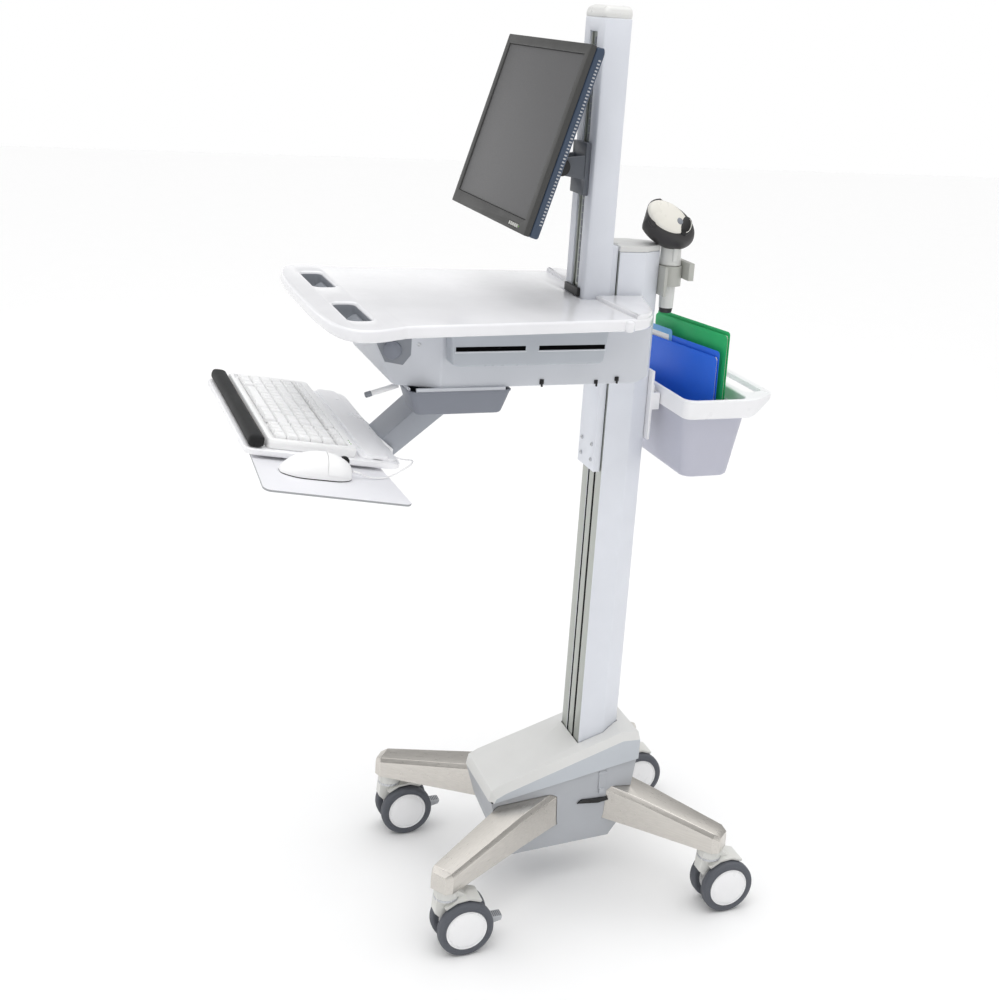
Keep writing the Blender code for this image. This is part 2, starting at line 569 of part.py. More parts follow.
def build_keyboard_tray():
    arm_grey = material("arm_grey", (0.38, 0.41, 0.45), 0.45)
    white = material("tray_white", (0.80, 0.80, 0.83), 0.35)
    rubber = material("wrist_black", (0.03, 0.03, 0.03), 0.7)
    key_white = material("key_white", (0.84, 0.84, 0.84), 0.4)
    rear, fore = ARM_REAR_PIVOT, ARM_FRONT_PIVOT

    # Bracket under the desk: a plate and two cheeks, with the arm's rear pin between them.
    bracket = block("arm_bracket", (-0.055, -0.375, 0.9945), (0.055, -0.285, BODY_LOW - GAP), arm_grey)
    for sign in (-1, 1):
        cheek = [(-0.365, 0.9960), (rear[1] - 0.014, rear[2] - 0.010), (rear[1] + 0.014, rear[2] - 0.010),
                 (-0.295, 0.9960)]
        x0, x1 = sorted((sign * 0.0440, sign * 0.0500))
        join(bracket, prism_x(f"bracket_cheek_{sign}", cheek, x0, x1, cutter=True))

    # The arm is a channel-shaped link; its eyes turn on pins at both ends.
    angle = atan2(fore[2] - rear[2], fore[1] - rear[1])
    length = (Vector(fore) - Vector(rear)).length
    outline = []
    for start, centre in ((angle + pi / 2, 0.0), (angle - pi / 2, length)):
        for i in range(6):
            a = start + pi * i / 5 * (1 if centre == 0.0 else 1)
            radius = 0.0215 if centre == 0.0 else 0.0180
            outline.append((rear[1] + centre * cos(angle) + radius * cos(a),
                            rear[2] + centre * sin(angle) + radius * sin(a)))
    arm = prism_x("keyboard_arm", outline, -0.0425, 0.0425, arm_grey)
    put_origin(arm, rear)

    # The tray, with the knuckle that hangs on the arm's front pin.
    tray = loft("keyboard_tray", [[(x * (1 - d), TRAY_DEPTH / 2 + (u - TRAY_DEPTH / 2) * (1 - d), w)
                                   for x, u in rounded(TRAY_HALF, TRAY_DEPTH / 2, 0.016, 3, (0, TRAY_DEPTH / 2))]
                                  for d, w in ((0.012, -0.0095), (0.0, -0.0070), (0.0, -0.0010), (0.006, 0.0))], white)
    tray.data.transform(tray_frame())
    for sign in (-1, 1):
        x0, x1 = sorted((sign * 0.0435, sign * 0.0500))
        lug = [(fore[1] - 0.016, fore[2] - 0.010), (fore[1] + 0.012, fore[2] - 0.012), (fore[1] + 0.014, fore[2] + 0.004),
               (fore[1] - 0.016, 0.8945), (fore[1] - 0.060, 0.9000)]
        join(tray, prism_x(f"tray_lug_{sign}", lug, x0, x1, cutter=True))
    put_origin(tray, fore)

    pad = rounded(0.197, 0.0125, 0.010, 3, (-0.001, 0.0165))
    on_tray(loft("wrist_rest", [[(x * (1 - d), 0.0165 + (u - 0.0165) * (1 - 4 * d), w) for x, u in pad]
                                for d, w in ((0, GAP), (0, 0.0150), (0.02, 0.0200))], rubber), fore)

    # A compact keyboard; its keys travel as one bank in a well of the case.
    kb_low, kb_high = 0.0335, 0.1720
    case = loft("keyboard_case", [[(x, u, w) for x, u in rounded(h, (kb_high - kb_low) / 2 - i, 0.008, 3,
                                                                 (-0.004, (kb_high + kb_low) / 2))]
                                  for h, i, w in ((0.1935, 0.0, GAP), (0.1945, 0.0, 0.0100), (0.1925, 0.001, 0.0150))],
                key_white)
    cut(case, block("key_well", (-0.1875, kb_low + 0.0075, 0.0100), (0.1795, kb_high - 0.0130, 0.03), cutter=True))
    on_tray(case, fore)
    on_tray(block("keyboard_keys", (-0.1865, kb_low + 0.0085, 0.0130), (0.1785, kb_high - 0.0140, 0.0190), key_white),
            fore)


def build_mouse_tray():
    grey = material("mouse_tray_grey", (0.70, 0.70, 0.74), 0.45)
    white = material("key_white", (0.84, 0.84, 0.84), 0.4)
    dark = material("bracket_grey", (0.16, 0.17, 0.19), 0.5)
    fore = ARM_FRONT_PIVOT
    drop = -0.0140

    tray = prism_z("mouse_tray", [(0.130, 0.016), (0.330, 0.006), (0.338, 0.010), (0.348, 0.215), (0.342, 0.222),
                                  (0.138, 0.214), (0.130, 0.206)], drop - 0.0035, drop, grey)
    on_tray(tray, fore)

    # Mouse: a domed body with two buttons and a wheel at its rear-facing nose.
    middle, long_half, wide_half = (0.247, 0.098), 0.0540, 0.0300

    def dome(name, low, rise, first, last, left, right, finish, cutter=False):
        """A slice of the mouse's egg shape between two stations along u and two sides."""
        rings = []
        for i in range(7):
            t = first + (last - first) * i / 6
            waist = wide_half * (1 - 0.9 * max(abs(t) - 0.35, 0) ** 2)
            height = rise * (1 - 0.55 * ((t + 0.10) ** 2))
            ring = []
            for s in (left, left + (right - left) * 0.3, left + (right - left) * 0.7, right):
                ring.append((middle[0] + s * waist, middle[1] + t * long_half, low + height * (1 - 0.45 * s * s)))
            ring += [(middle[0] + right * waist, middle[1] + t * long_half, low),
                     (middle[0] + left * waist, middle[1] + t * long_half, low)]
            rings.append(ring)
        return loft(name, rings, finish, cutter)

    body = dome("mouse_body", drop + GAP, 0.0350, -1.0, 1.0, -1.0, 1.0, white)
    for side, left, right in (("left", -1.1, -0.14), ("right", 0.14, 1.1)):
        cut(body, block(f"mouse_{side}_room", (middle[0] + left * wide_half, middle[1] + 0.20 * long_half, drop + 0.0165),
                        (middle[0] + right * wide_half, middle[1] + 1.2 * long_half, 0.08), cutter=True))
    cut(body, block("wheel_room", (middle[0] - 0.0042, middle[1] + 0.028, drop + 0.010),
                    (middle[0] + 0.0042, middle[1] + 0.050, 0.08), cutter=True))
    on_tray(body, fore)
    for side, left, right in (("left", -0.99, -0.16), ("right", 0.16, 0.99)):
        key = dome(f"mouse_button_{side}", drop + 0.0185, 0.0150, 0.22, 0.96, left, right, white)
        on_tray(key, fore)
    wheel = rod("mouse_wheel", (middle[0], middle[1] + 0.039, drop + 0.0235), 0.0085, middle[0] - 0.0034,
                middle[0] + 0.0034, "X", 14, dark)
    on_tray(wheel, fore)

    cord = bpy.data.curves.new("mouse_cord", "CURVE")
    cord.dimensions = "3D"
    cord.bevel_depth = 0.0014
    cord.bevel_resolution = 2
    cord.use_fill_caps = True
    route = [(0.2470, 0.1535, -0.0040), (0.2470, 0.1640, -0.0060), (0.2460, 0.1780, -0.0105), (0.2430, 0.1930, -0.0118),
             (0.2380, 0.2080, -0.0110), (0.2320, 0.2220, -0.0070), (0.2260, 0.2360, 0.0000), (0.2160, 0.2490, 0.0050),
             (0.2000, 0.2580, 0.0065), (0.1800, 0.2620, 0.0030), (0.1600, 0.2640, -0.0030), (0.1400, 0.2640, -0.0090),
             (0.1200, 0.2620, -0.0140), (0.1000, 0.2600, -0.0175), (0.0780, 0.2580, -0.0200)]
    spline = cord.splines.new("POLY")
    points = [tray_frame() @ Vector(point) for point in smooth(route, 4)]
    spline.points.add(len(points) - 1)
    for slot, point in zip(spline.points, points):
        slot.co = (*point, 1.0)
    cord.materials.append(white)
    CART.objects.link(bpy.data.objects.new("mouse_cord", cord))


def smooth(points, steps):
    """Catmull-Rom points along a hand-placed route."""
    path = [Vector(p) for p in points]
    padded = [path[0] * 2 - path[1], *path, path[-1] * 2 - path[-2]]
    found = []
    for i in range(1, len(padded) - 2):
        a, b, c, d = padded[i - 1:i + 3]
        for k in range(steps):
            t = k / steps
            found.append(0.5 * (2 * b + (c - a) * t + (2 * a - 5 * b + 4 * c - d) * t * t
                                + (3 * b - a - 3 * c + d) * t ** 3))
    return found + [path[-1]]


# Bin, folders and scanner ------------------------------------------------------------------------

def build_bin():
    white = material("bin_white", (0.86, 0.86, 0.88), 0.35)
    tint = material("bin_tint", (0.55, 0.56, 0.70), 0.4)
    blue = material("folder_blue", (0.02, 0.13, 0.58), 0.45)
    green = material("folder_green", (0.02, 0.42, 0.18), 0.5)
    front = COLUMN_REAR + 0.0060

    # The bracket's keeper takes the tongue under the bin's rim, and the bin lifts straight off it.
    plate = block("bin_bracket", (-0.034, COLUMN_REAR + GAP, 0.860), (0.034, front - GAP, 0.985), white)
    join(plate, block("bracket_keeper", (-0.034, front + 0.0100, 0.9150), (0.034, front + 0.0130, 0.9450), cutter=True))
    for sign in (-1, 1):
        x0, x1 = sorted((sign * 0.0270, sign * 0.0340))
        join(plate, block(f"keeper_web_{sign}", (x0, front - 0.0020, 0.9150), (x1, front + 0.0130, 0.9450), cutter=True))

    def tub_ring(half_x, low_y, high_y, z):
        cx, cy, hy = 0.0, (low_y + high_y) / 2, (high_y - low_y) / 2
        return [(x, y, z) for x, y in rounded(half_x, hy, 0.018, 3, (cx, cy))]

    wall = 0.0026
    y0 = front + 0.0200
    body = loft("bin_body", [tub_ring(0.112, y0 + 0.012, 0.1700, BIN_FLOOR_Z),
                             tub_ring(0.126, y0, 0.1860, BIN_RIM_Z - 0.0230)], tint)
    cut(body, loft("bin_hollow", [tub_ring(0.112 - wall, y0 + 0.012 + wall, 0.1700 - wall, BIN_FLOOR_Z + wall),
                                  tub_ring(0.126 - wall, y0 + wall, 0.1860 - wall, BIN_RIM_Z - 0.0220)], cutter=True))

    # The rim is a collar on the tub's edge with a pouring-lip handle at the rear.
    def collar(grow, low, high, name, reach, finish=None, cutter=False):
        outline = [(-0.134 - grow, y0 - 0.005 - grow), (0.134 + grow, y0 - 0.005 - grow),
                   (0.134 + grow, 0.196 + grow), (0.096 + grow, reach + grow), (-0.096 - grow, reach + grow),
                   (-0.134 - grow, 0.196 + grow)]
        return prism_z(name, outline, low, high, finish, cutter)

    rim = collar(0.0, BIN_RIM_Z - 0.0225, BIN_RIM_Z, "bin_rim", 0.250, white)
    cut(rim, loft("rim_mouth", [tub_ring(0.123, y0 + 0.0030, 0.1830, BIN_RIM_Z - 0.03),
                                tub_ring(0.127, y0 + 0.0010, 0.1870, BIN_RIM_Z + 0.01)], cutter=True))
    grip = [(-0.086, 0.2000), (0.086, 0.2000), (0.080, 0.2380), (-0.080, 0.2380)]
    cut(rim, prism_z("rim_grip", grip, BIN_RIM_Z - 0.05, BIN_RIM_Z + 0.05, cutter=True))
    join(rim, block("rim_tongue", (-0.0230, front + 0.0020, 0.9200), (0.0230, front + 0.0070, BIN_RIM_Z), cutter=True))
    join(rim, block("rim_bridge", (-0.0230, front + 0.0020, 0.9500), (0.0230, y0 - 0.0040, BIN_RIM_Z), cutter=True))

    # Document folders stand in the bin, turned a little from square.
    def folder(name, centre, half, low, high, thick, finish, lean):
        sheet = block(name, (-half, -thick / 2, 0.0), (half, thick / 2, high - low), finish)
        sheet.data.transform(Matrix.Rotation(lean, 4, "X"))
        sheet.data.transform(Matrix.Translation((centre[0], centre[1], low)) @ Matrix.Rotation(radians(13), 4, "Z"))
        return sheet

    folder("folder_blue", (0.0, 0.1120), 0.1000, BIN_FLOOR_Z + 0.0040, 1.0480, 0.0060, blue, radians(1.0))
    folder("folder_green", (0.0, 0.1290), 0.1000, BIN_FLOOR_Z + 0.0040, 1.0720, 0.0060, green, radians(1.0))


def build_scanner():
    white = material("scanner_white", (0.80, 0.79, 0.76), 0.4)
    dark = material("scanner_dark", (0.06, 0.055, 0.055), 0.5)
    grey = material("holder_light", (0.45, 0.46, 0.47), 0.45)
    x, y = SCANNER_X, SCANNER_Y

    # Holder: a saddle bolted to the column's rear, a ring round the handle and a side wing.
    holder = block("scanner_holder", (-0.020, COLUMN_REAR + GAP, 1.120), (0.045, COLUMN_REAR + 0.0060, 1.170), grey)
    ring = rod("holder_ring", (x, y, 0), 0.0220, 1.1350, 1.1700, "Z", 20, cutter=True)
    join(holder, ring)
    join(holder, block("holder_wing", (x - 0.030, y + 0.0204, 1.1480), (x + 0.036, y + 0.0300, 1.1780), cutter=True))
    cut(holder, rod("holder_bore", (x, y, 0), 0.0172, 1.05, 1.25, "Z", 20, cutter=True))

    grip = [circle((x, y, z), r, "Z", 14) for z, r in ((1.0860, 0.0110), (1.0980, 0.0125), (1.1704, 0.0140),
                                                       (1.1709, 0.0195), (1.1850, 0.0180), (1.2120, 0.0180))]
    body = loft("scanner_body", grip, white)
    head = []
    for z, half_x, half_y, shift in ((1.2120, 0.020, 0.034, -0.004), (1.2240, 0.030, 0.048, -0.010),
                                     (1.2420, 0.035, 0.055, -0.014), (1.2580, 0.033, 0.052, -0.018),
                                     (1.2680, 0.024, 0.040, -0.022)):
        head.append([(x + half_x * cos(a), y + shift + half_y * sin(a) - 0.006, z)
                     for a in [2 * pi * i / 16 for i in range(16)]])
    join(body, loft("scanner_head", head, cutter=True))
    cut(body, block("trigger_room", (x + 0.0020, y - 0.0062, 1.1775), (x + 0.04, y + 0.0062, 1.2105), cutter=True))
    trigger = prism_z("scanner_trigger", [(x + 0.0085, y - 0.0055), (x + 0.0205, y - 0.0045),
                                          (x + 0.0220, y), (x + 0.0205, y + 0.0045), (x + 0.0085, y + 0.0055)],
                      1.1785, 1.2095, dark)
    put_origin(trigger, (x + 0.0085, y, 1.2095))


# Assembly ----------------------------------------------------------------------------------------

def settle_origin():
    """Moves everything so that the world origin is the bottom centre of the cart's box."""
    bpy.context.view_layer.update()
    graph = bpy.context.evaluated_depsgraph_get()
    low, high = Vector((9, 9, 9)), Vector((-9, -9, -9))
    for obj in CART.objects:
        shape = obj.evaluated_get(graph)
        mesh = shape.to_mesh()
        for vertex in mesh.vertices:
            point = obj.matrix_world @ vertex.co
            low = Vector(map(min, low, point))
            high = Vector(map(max, high, point))
        shape.to_mesh_clear()
    shift = -Vector(((low.x + high.x) / 2, (low.y + high.y) / 2, low.z))
    for obj in [*CART.objects, *CUTTERS.objects]:
        obj.location += shift
    print("origin moved by", tuple(round(value, 6) for value in shift))


clear_scene()
CART = make_collection("medication_cart")
CUTTERS = make_collection("cutters", hidden=True)

build_base()
for place, stem in STEMS.items():
    build_caster(place, stem, pedal=place.startswith("front"))
build_column()
build_carriage()
build_display()
build_desk()
build_keyboard_tray()
build_mouse_tray()
build_bin()
build_scanner()
settle_origin()
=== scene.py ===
"""Looks of the medication cart: finishes, fittings, keys, cables and light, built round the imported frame."""

import json
import logging
import math
from dataclasses import dataclass
from enum import Enum
from typing import Any, Callable, Iterable, Optional, Sequence

import bmesh
import bpy
from mathutils import Matrix, Vector


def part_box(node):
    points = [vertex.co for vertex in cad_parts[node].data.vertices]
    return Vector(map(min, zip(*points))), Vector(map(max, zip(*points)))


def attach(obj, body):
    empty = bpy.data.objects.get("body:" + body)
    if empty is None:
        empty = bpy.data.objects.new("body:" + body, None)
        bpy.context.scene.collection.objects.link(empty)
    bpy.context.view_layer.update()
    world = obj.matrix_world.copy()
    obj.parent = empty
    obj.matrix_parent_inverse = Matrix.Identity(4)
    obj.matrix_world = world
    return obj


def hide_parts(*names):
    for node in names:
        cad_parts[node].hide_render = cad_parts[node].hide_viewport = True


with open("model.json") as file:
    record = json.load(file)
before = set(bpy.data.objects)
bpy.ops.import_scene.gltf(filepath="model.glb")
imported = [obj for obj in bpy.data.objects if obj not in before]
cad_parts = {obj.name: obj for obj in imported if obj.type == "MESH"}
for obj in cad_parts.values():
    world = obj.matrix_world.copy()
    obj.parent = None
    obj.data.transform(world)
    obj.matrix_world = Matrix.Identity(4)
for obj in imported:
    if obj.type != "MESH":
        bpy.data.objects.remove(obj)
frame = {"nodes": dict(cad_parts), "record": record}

LOG = logging.getLogger("cart")
Point = Sequence[float]
Mesh = bpy.types.Mesh
MM = 0.001
#: A noise texture of this scale has features about a millimetre across.
NOISE_MM = 500.0
#: Noise gathers round a half; these are its usual troughs and crests.
TROUGH, CREST = 0.3, 0.7
#: How far the column's axis lies behind the middle of its box.
AXIS_BACK = 0.0025

_low, _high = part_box("lift_column")
#: The lift column's axis on the floor. Every size below is measured from it.
AXIS = Vector(((_low.x + _high.x) / 2, (_low.y + _high.y) / 2 + AXIS_BACK, 0.0))
#: The display's lean, and the middle of its face.
TILT = math.radians(17.0)
FACE = Vector((0.0, -0.23, 1.391))
#: The keyboard tray's slope, and the middle of its front edge.
SLOPE = math.radians(9.0)
TRAY_FRONT = Vector((0.0, -0.692, 0.93))
#: The smallest gap between two corners of a mesh; closer ones are merged.
MERGE = 1e-6
#: Points across the mouse's top.
ACROSS = 22


# Small tools

def linear(colour: str) -> tuple[float, float, float, float]:
    """Turns an sRGB hex colour to linear.

    Args:
        colour: Six hex digits, with or without the hash sign.

    Returns:
        Linear red, green, blue and an alpha of 1.
    """
    digits = colour.lstrip("#")
    parts = [int(digits[i:i + 2], 16) / 255 for i in (0, 2, 4)]
    r, g, b = (c / 12.92 if c <= 0.04045 else ((c + 0.055) / 1.055) ** 2.4 for c in parts)
    return (r, g, b, 1.0)


def add_node(tree: bpy.types.NodeTree, kind: str, inputs: Optional[dict[Any, Any]] = None,
             **settings: Any) -> bpy.types.Node:
    """Adds a node with its settings, values and links.

    Args:
        tree: The shader or geometry tree.
        kind: The node's type.
        inputs: Socket name, identifier or index, to a value or to another node's output socket.
        settings: Properties set before the sockets.

    Returns:
        The new node.
    """
    node = tree.nodes.new(kind)
    for key, value in settings.items():
        setattr(node, key, value)
    for key, value in (inputs or {}).items():
        if isinstance(key, int):
            socket = node.inputs[key]
        else:
            socket = next(s for s in node.inputs if key in (s.identifier, s.name) and s.enabled)
        if isinstance(value, bpy.types.NodeSocket):
            tree.links.new(value, socket)
        else:
            socket.default_value = value
    return node


def design(mesh: Mesh) -> Mesh:
    """Moves a mesh from column-centred sizes to its place in the frame."""
    mesh.transform(Matrix.Translation(AXIS))
    return mesh


def tray_matrix() -> Matrix:
    """Takes tray coordinates to column-centred ones."""
    return Matrix.Translation(TRAY_FRONT) @ Matrix.Rotation(-SLOPE, 4, "X")


def screen_matrix() -> Matrix:
    """Takes display coordinates (across, up the face, back into it) to column-centred ones.

    Returns:
        The matrix, which mirrors, because those three directions are left-handed.
    """
    up = Vector((0, math.sin(TILT), math.cos(TILT)))
    back = Vector((0, math.cos(TILT), -math.sin(TILT)))
    turn = Matrix((Vector((1, 0, 0)), up, back)).transposed().to_4x4()
    return Matrix.Translation(FACE) @ turn


def smooth_line(points: Iterable[Point], steps: int) -> list[Vector]:
    """Catmull-Rom points along a route.

    Args:
        points: The route's own points.
        steps: How many points each stretch becomes.

    Returns:
        The finer route, ending at the last point.
    """
    path = [Vector(p) for p in points]
    padded = [path[0] * 2 - path[1], *path, path[-1] * 2 - path[-2]]
    found = []
    for i in range(1, len(padded) - 2):
        a, b, c, d = padded[i - 1:i + 3]
        for k in range(steps):
            t = k / steps
            found.append(0.5 * (2 * b + (c - a) * t + (2 * a - 5 * b + 4 * c - d) * t * t
                    + (3 * b - a - 3 * c + d) * t ** 3))
    return found + [path[-1]]


def rounded(half_x: float, half_y: float, radius: float, steps: int = 6,
            middle: Point = (0.0, 0.0)) -> list[tuple[float, float]]:
    """A rectangle with rounded corners.

    Args:
        half_x: Half its width.
        half_y: Half its depth.
        radius: The corners' radius.
        steps: Segments in each corner.
        middle: Its middle.

    Returns:
        The outline, anticlockwise.
    """
    found = []
    for cx, cy, start in ((1, 1, 0), (-1, 1, 90), (-1, -1, 180), (1, -1, 270)):
        for i in range(steps + 1):
            a = math.radians(start + 90 * i / steps)
            found.append((middle[0] + cx * (half_x - radius) + radius * math.cos(a),
                    middle[1] + cy * (half_y - radius) + radius * math.sin(a)))
    return found


def cleaned(mesh: Mesh) -> Mesh:
    """Merges a mesh's doubled corners and turns its faces outwards.

    Args:
        mesh: The mesh, which is changed.

    Returns:
        The same mesh.
    """
    bm = bmesh.new()
    bm.from_mesh(mesh)
    bmesh.ops.remove_doubles(bm, verts=bm.verts, dist=MERGE)
    bmesh.ops.recalc_face_normals(bm, faces=bm.faces)
    bm.to_mesh(mesh)
    bm.free()
    return mesh


def mesh_of(name: str, points: Iterable[Point], faces: Iterable[Sequence[int]]) -> Mesh:
    """A mesh whose faces point outwards.

    Args:
        name: Its name.
        points: Its corners.
        faces: Each face's corners, by number.

    Returns:
        The mesh.
    """
    mesh = bpy.data.meshes.new(name)
    mesh.from_pydata([tuple(p) for p in points], [], [list(f) for f in faces])
    return cleaned(mesh)


def loft(name: str, rings: Sequence[Sequence[Point]], caps: bool = True) -> Mesh:
    """Joins rings of equal length into a skin.

    Args:
        name: The mesh's name.
        rings: Rings of corners, in order.
        caps: Whether both ends are closed.

    Returns:
        The skin.
    """
    count = len(rings[0])
    points = [p for ring in rings for p in ring]
    faces = []
    for r in range(len(rings) - 1):
        for i in range(count):
            j = (i + 1) % count
            faces.append((r * count + i, r * count + j, (r + 1) * count + j, (r + 1) * count + i))
    if caps:
        faces.append(tuple(range(count)))
        faces.append(tuple((len(rings) - 1) * count + i for i in range(count)))
    return mesh_of(name, points, faces)


class Axis(Enum):
    """The direction of a turned piece's axis."""

    X = "across"
    Y = "rearwards"
    Z = "up"


def lathe(name: str, profile: Sequence[tuple[float, float]], centre: Point, axis: Axis = Axis.X,
          steps: int = 72) -> Mesh:
    """Turns (along, radius) round an axis through centre; radii of 0 close the ends.

    Args:
        name: The mesh's name.
        profile: Pairs of distance along the axis and radius; a ring's last pair meets its first.
        centre: A point on the axis.
        axis: The axis's direction.
        steps: Segments round.

    Returns:
        The turned mesh.
    """
    rings = []
    for i in range(steps):
        a = 2 * math.pi * i / steps
        ring = []
        for along, radius in profile:
            c, s = radius * math.cos(a), radius * math.sin(a)
            local = {Axis.X: (along, c, s), Axis.Y: (c, along, s), Axis.Z: (c, s, along)}[axis]
            ring.append(Vector(centre) + Vector(local))
        rings.append(ring)
    count = len(profile)
    closed = profile[0][1] > 0 and profile[-1][1] > 0
    faces = []
    for i in range(steps):
        for k in range(count if closed else count - 1):
            m = (k + 1) % count
            faces.append((i * count + k, i * count + m, ((i + 1) % steps) * count + m,
                    ((i + 1) % steps) * count + k))
    return mesh_of(name, [p for ring in rings for p in ring], faces)


def box_mesh(name: str, low: Point, high: Point) -> Mesh:
    """A box between two corners, for pieces whose edges are then rounded."""
    (a, b, c), (d, e, f) = low, high
    return loft(name, [[(a, b, c), (d, b, c), (d, e, c), (a, e, c)], [(a, b, f), (d, b, f), (d, e, f), (a, e, f)]])


def merged(name: str, meshes: Iterable[Mesh]) -> Mesh:
    """One mesh from several.

    Args:
        name: Its name.
        meshes: The meshes, each closed on its own.

    Returns:
        The mesh.
    """
    bm = bmesh.new()
    for mesh in meshes:
        bm.from_mesh(mesh)
    result = bpy.data.meshes.new(name)
    bm.to_mesh(result)
    bm.free()
    return result


def plate(name: str, outlines: Sequence[Sequence[tuple[float, float]]], low: float, high: float,
          edge: float, steps: int = 4) -> Mesh:
    """A flat piece with round-over edges, from an outline and its holes.

    Args:
        name: The mesh's name.
        outlines: The outer outline, then any holes, in x and y.
        low: The underside's height.
        high: The top's height.
        edge: Radius of the round-over.
        steps: Segments in the round-over.

    Returns:
        The plate as a closed mesh.
    """
    curve = bpy.data.curves.new(name, "CURVE")
    curve.dimensions, curve.fill_mode = "2D", "BOTH"
    curve.extrude = (high - low) / 2 - edge
    curve.bevel_depth, curve.bevel_resolution, curve.offset = edge, steps, -edge
    for outline in outlines:
        spline = curve.splines.new("POLY")
        spline.points.add(len(outline) - 1)
        for slot, (x, y) in zip(spline.points, outline):
            slot.co = (x, y, 0.0, 1.0)
        spline.use_cyclic_u = True
    mesh = baked(bpy.data.objects.new(name, curve))
    mesh.transform(Matrix.Translation((0, 0, (low + high) / 2)))
    return cleaned(mesh)


def tube(name: str, route: Sequence[Point], radius: float, sides: int = 3) -> Mesh:
    """A round tube with closed ends.

    Args:
        name: The mesh's name.
        route: Points along its middle.
        radius: Its radius.
        sides: How finely its section is divided.

    Returns:
        The tube.
    """
    curve = bpy.data.curves.new(name, "CURVE")
    curve.dimensions, curve.bevel_depth, curve.bevel_resolution = "3D", radius, sides
    curve.use_fill_caps = True
    spline = curve.splines.new("POLY")
    spline.points.add(len(route) - 1)
    for slot, point in zip(spline.points, route):
        slot.co = (*point, 1.0)
    return cleaned(baked(bpy.data.objects.new(name, curve)))


def baked(obj: bpy.types.Object) -> Mesh:
    """Bakes an object's modifiers.

    Args:
        obj: The object, which is then removed.

    Returns:
        Its evaluated mesh.
    """
    if not obj.users_collection:
        bpy.context.scene.collection.objects.link(obj)
    bpy.context.view_layer.update()
    graph = bpy.context.evaluated_depsgraph_get()
    mesh = bpy.data.meshes.new_from_object(obj.evaluated_get(graph), depsgraph=graph)
    mesh.name = obj.name
    bpy.data.objects.remove(obj)
    return mesh


def softened(mesh: Mesh, width: float, segments: int = 3, angle: float = 25.0) -> Mesh:
    """Rounds a mesh's hard edges, and marks the rounding for the finish to wear.

    Args:
        mesh: The mesh, which isn't kept.
        width: Width of the rounding in metres.
        segments: Faces across it.
        angle: The least angle of an edge that counts as hard, in degrees.

    Returns:
        The rounded mesh with a corner attribute "edge" of 1 on the rounding.
    """
    obj = bpy.data.objects.new(mesh.name, mesh)
    bevel = obj.modifiers.new("round_over", "BEVEL")
    bevel.width, bevel.segments, bevel.limit_method = width, segments, "ANGLE"
    bevel.angle_limit, bevel.material, bevel.miter_outer = math.radians(angle), 1, "MITER_ARC"
    mesh.materials.clear()
    mesh.materials.append(None)
    mesh.materials.append(None)
    result = baked(obj)
    worn = result.attributes.new("edge", "FLOAT", "FACE")
    worn.data.foreach_set("value", [float(p.material_index == 1) for p in result.polygons])
    for polygon in result.polygons:
        polygon.material_index = 0
    result.materials.clear()
    return result


def weld_copy(node: str) -> Mesh:
    """Copies a CAD node's mesh, merges its corners and makes its flat faces whole.

    Args:
        node: The CAD node.

    Returns:
        The copy.
    """
    source = bmesh.new()
    source.from_mesh(frame["nodes"][node].data)
    bmesh.ops.remove_doubles(source, verts=source.verts, dist=2e-6)
    bmesh.ops.dissolve_limit(source, angle_limit=math.radians(0.6), verts=source.verts, edges=source.edges)
    source.verts.index_update()
    mesh = bpy.data.meshes.new(node)
    mesh.from_pydata([v.co[:] for v in source.verts], [], [[v.index for v in f.verts] for f in source.faces])
    source.free()
    return mesh


# Finishes

class Grain(Enum):
    """How a surface was made, which sets its fine relief."""

    MOULDED = "spark-eroded mould texture"
    POWDER = "powder coat orange peel"
    GLOSS = "polished mould"
    FIBRE = "pressed paper fibre"


class Lines(Enum):
    """Which way a metal's brushing runs."""

    CROSSWISE = "along X"
    UPRIGHT = "along Z"
    FROM_HUB = "out from the base's hub"


